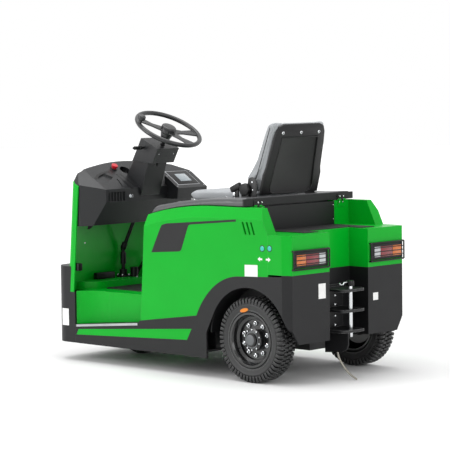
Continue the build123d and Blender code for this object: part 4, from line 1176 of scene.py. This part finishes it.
@dataclass
class Markings:
    """Blank films, stripes, arrows and buttons on the paint."""

    badge: list[Flat] = field(default_factory=lambda: [
        (747, 674), (675, 812), (660, 834), (622, 843), (88, 886), (88, 874), (437, 844), (450, 838), (462, 812),
        (507, 702), (518, 692), (534, 689),
    ])
    stripe: list[Flat] = field(default_factory=lambda: [(1368, 190), (437, 262), (473, 198), (1387, 157)])
    step: list[Flat] = field(default_factory=lambda: [(870, 263), (1388, 216), (1388, 203), (870, 249)])

    def make_arrow(self, name: str, tip: float, way: int) -> None:
        """Lays one white arrow under a button.

        Args:
            name: the piece's name.
            tip: the x of its tip, in millimetres from the rear axle.
            way: 1 where it points to the front and -1 to the rear.
        """
        z = 679.0
        outline = [
            (tip, z), (tip - way * 17, z + 13), (tip - way * 17, z + 5), (tip - way * 34, z + 5),
            (tip - way * 34, z - 5), (tip - way * 17, z - 5), (tip - way * 17, z - 13),
        ]
        side_film(name, outline, WHITE)

    def make_button(self, name: str, x: float, z: float) -> None:
        """Sets one round cyan button in its black bezel."""
        at = (x / 1000 + AXLE_X, SIDE_Y, z / 1000)
        bezel = rod(name + "_bezel", (at[0], at[1] - 0.004, at[2]), (at[0], at[1] + 0.0006, at[2]), 0.0190, 0.0180, 40)
        settle(bezel, SHELL)
        cap = rod(name, (at[0], at[1] - 0.003, at[2]), (at[0], at[1] + 0.0012, at[2]), 0.0150, 0.0135, 40)
        settle(cap, CYAN)

    def make(self) -> None:
        """Lays all the markings."""
        for side, hand in ((1, "left"), (-1, "right")):
            side_film("side_badge_" + hand, self.badge, CHARCOAL, side)
            side_film("skirt_stripe_" + hand, self.stripe, GREEN, side)
            side_film("step_strip_" + hand, self.step, BRUSHED, side)
        side_film("side_label", [(-68, 582), (27, 580), (27, 643), (-68, 646)], WHITE)
        side_film("bumper_label", [(1452, 205), (1508, 205), (1508, 305), (1452, 305)], WHITE)
        rear_film("tail_label_left", (197, 457), (256, 539))
        rear_film("tail_label_right", (-250, 410), (-206, 452))
        self.make_button("reach_button_front", -103, 737)
        self.make_button("reach_button_rear", -156, 739)
        self.make_arrow("arrow_front", -69, 1)
        self.make_arrow("arrow_rear", -163, -1)


@dataclass
class Fasteners:
    """Screws and bolts that show, one mesh a group."""

    def make_screws(
        self, name: str, places: Sequence[Point], out: Point, radius: float, body: str, height: float = 0.003
    ) -> None:
        """Adds a group of round headed screws.

        Args:
            name: the piece's name.
            places: where each head sits.
            out: the direction out of the surface.
            radius: the head's radius.
            body: the body that they ride on.
            height: how far the head stands out.
        """
        way = Vector(out)
        heads = [
            rod("head", Vector(p) - way * 0.001, Vector(p) + way * height, radius, radius * 0.7, 16) for p in places
        ]
        settle(joined(name, heads), ZINC, body)

    def make(self) -> None:
        """Adds every group."""
        rear = (-1, 0, 0)
        hinge = [y + dy for y in (-0.344, 0.344) for dy in (-0.015, 0.015)]
        self.make_screws("hinge_screws", [(-0.5955, y, 0.972) for y in hinge], rear, 0.0052, "hood")
        self.make_screws("leaf_screws", [(-0.5915, y, 0.939) for y in hinge], rear, 0.0052, "chassis")
        edge = [(-0.5815, y, z) for y in (-0.284, 0.284) for z in (0.845, 0.925)]
        self.make_screws("bulkhead_screws", edge, rear, 0.0042, "chassis")
        column = [(0.4685 + 0.006, y, 1.208) for y in (-0.060, 0.060)]
        self.make_screws("column_screws", column, (-0.86, 0, -0.51), 0.0045, "chassis")
        self.make_screws("shield_screws", [(0.770, 0.392, 0.690)], (-0.7, 0.7, 0), 0.0045, "chassis")
        ring = [(0.8569 + 0.034 * math.cos(a), 0.034 * math.sin(a), 0.465) for a in (0.6, 2.2, 3.75, 5.3)]
        self.make_screws("flange_bolts", ring, (0, 0, 1), 0.0065, "chassis", 0.008)
        pot = [(0.8025 + 0.030 * math.cos(a), -0.040 + 0.030 * math.sin(a), 0.455) for a in (0.8, 2.9, 5.0)]
        self.make_screws("pot_bolts", pot, (0, 0, 1), 0.0045, "chassis", 0.006)
        jaws = [(-0.905, 0.086, z) for z in (0.300, 0.350, 0.412, 0.462)]
        self.make_screws("jaw_bolts", jaws, (-0.5, 0.86, 0), 0.0075, "chassis", 0.006)


@dataclass
class DashFittings:
    """The display, the stop button's collar, the key switch, the column's joint and the painted shade of the dash tray
    and slots.
    """

    slope: float = math.radians(33.4)
    # Near black films that are painted shade: the shadowed rim of the recessed tray and the insides of the two pen
    # slots.
    shade_films: list[tuple[str, list[Flat]]] = field(default_factory=lambda: [
        ("tray_rim_shadow", [
            (1353, 364), (1384, 312), (1405, 245), (1413, 186), (1398, 192), (1389, 250), (1372, 303), (1345, 343),
        ]),
        ("pen_slot_front_shade", [(1380, 160), (1253, 149), (1253, 138), (1380, 147)]),
        ("pen_slot_rear_shade", [(1380, 128), (1267, 112), (1267, 101), (1380, 115)]),
    ])

    def on_top(self, x: float, y: float, lift: float) -> Matrix:
        """Gives the placing of a flat piece on a plane parallel to the dash's top.

        Args:
            x: millimetres from the rear axle.
            y: millimetres to the left.
            lift: metres above the dash's own top plane.

        Returns:
            The placing, whose Z is out of the plane.
        """
        z = 1.008 + math.tan(self.slope) * (x - 1258) / 1000 + lift
        return Matrix.Translation((x / 1000 + AXLE_X, y / 1000, z)) @ Matrix.Rotation(-self.slope, 4, "Y")

    def make(self) -> None:
        """Adds the fittings."""
        # Lays the painted shade films flat on the dash top.
        for name, corners in self.shade_films:
            rise = math.tan(self.slope) / 1000
            flat = [(x / 1000 + AXLE_X, y / 1000, 1.0077 + rise * (x - 1258)) for x, y in corners]
            settle(plate(name, flat, (-0.0006, 0.0, 0.0009)), SHELL)
        settle(box("shield_catch", (0.7400, 0.4400, 0.5300), (0.7900, 0.4760, 0.5750), 0.006), SHELL)
        settle(box("shield_foot_bar", (0.8350, 0.0900, 0.4540), (0.8700, 0.2350, 0.4940), 0.004), SHELL)
        pod_lift = (0.996 + math.tan(self.slope) * (1258 - 1164) / 1000) - 1.008
        for name, low, high, rounding, finish in (
            # The pale metal rim round the bezel is a painted highlight: it stands where the pod's edges glint.
            ("display_glint_rim", (-0.076, -0.092, -0.003), (0.066, 0.092, 0.0006), 0.0008, BRUSHED),
            ("display_bezel", (-0.072, -0.088, -0.002), (0.062, 0.088, 0.0012), 0.0008, SHELL),
            ("display_screen", (-0.040, -0.052, 0.0006), (0.034, 0.040, 0.0018), 0.0004, SCREEN),
        ):
            layer = box(name, low, high, rounding)
            layer.data.transform(self.on_top(1252, -272, pod_lift))
            settle(layer, finish)
        heads = []
        for x, y in ((1178, -162), (1178, -388), (1300, -392), (1268, -160)):
            head = rod("head", (0, 0, -0.001), (0, 0, 0.002), 0.0042, 0.003, 16)
            head.data.transform(self.on_top(x, y, pod_lift))
            heads.append(head)
        settle(joined("pod_screws", heads), ZINC)
        collar = rod("stop_collar", (0, 0, -0.001), (0, 0, 0.005), 0.024, 0.022, 40)
        collar.data.transform(self.on_top(1427, 132, 0.0))
        settle(collar, SHELL)
        grip = [
            rod(name, (0.574, start, 1.246), (0.574, end, 1.246), radius, tip)
            for name, start, end, radius, tip in (
                ("stalk", 0.0885, 0.1180, 0.0065, None), ("collar", 0.1060, 0.1130, 0.0112, None),
                ("collar", 0.1180, 0.1240, 0.0118, None), ("grip", 0.1220, 0.1640, 0.0100, 0.0112),
                ("tip", 0.1620, 0.1735, 0.0088, 0.0070),
            )
        ]
        lever = settle(joined("direction_lever", grip), SHELL)
        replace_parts(lever, "travel_lever")
        lock = rod("key_lock", (0.6215, 0.160, 0.961), (0.6135, 0.160, 0.961), 0.012, 0.010, 32)
        settle(lock, ZINC)
        key = box("key_blade", (0.5960, 0.1588, 0.950), (0.6145, 0.1612, 0.972), 0.001)
        settle(key, ZINC)
        yoke = rod("joint_yoke", (0.838, 0, 0.662), (0.857, 0, 0.628), 0.0165, 0.0185, 20)
        settle(yoke, CHARCOAL, "steering")
        boot = rod("joint_boot", (0.8569, 0, 0.545), (0.8569, 0, 0.605), 0.0170, 0.0155, 24)
        settle(boot, SHELL, "lower_steering")


def finish_nodes() -> None:
    """Gives every carried over CAD node its material."""
    for name, finish in NODE_FINISHES.items():
        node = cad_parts[name]
        node.data.materials.clear()
        node.data.materials.append(make_material(finish))
        log.info("%s: CAD node in %s", name, finish.name)


def main() -> None:
    """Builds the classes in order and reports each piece."""
    logging.basicConfig(level=logging.INFO)
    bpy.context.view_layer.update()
    studio = Studio()
    studio.make_camera()
    finish_nodes()
    parts = (
        GroundStrap(), RearWheel(1, "left"), RearWheel(-1, "right"), Seat(), HandWheel(), Lamps(), HitchPin(),
        Shield(), Markings(), Fasteners(), DashFittings(),
    )
    for part in parts:
        part.make()
        log.info("%s is built", type(part).__name__)
    studio.make_room()


if __name__ == "__main__":
    main()
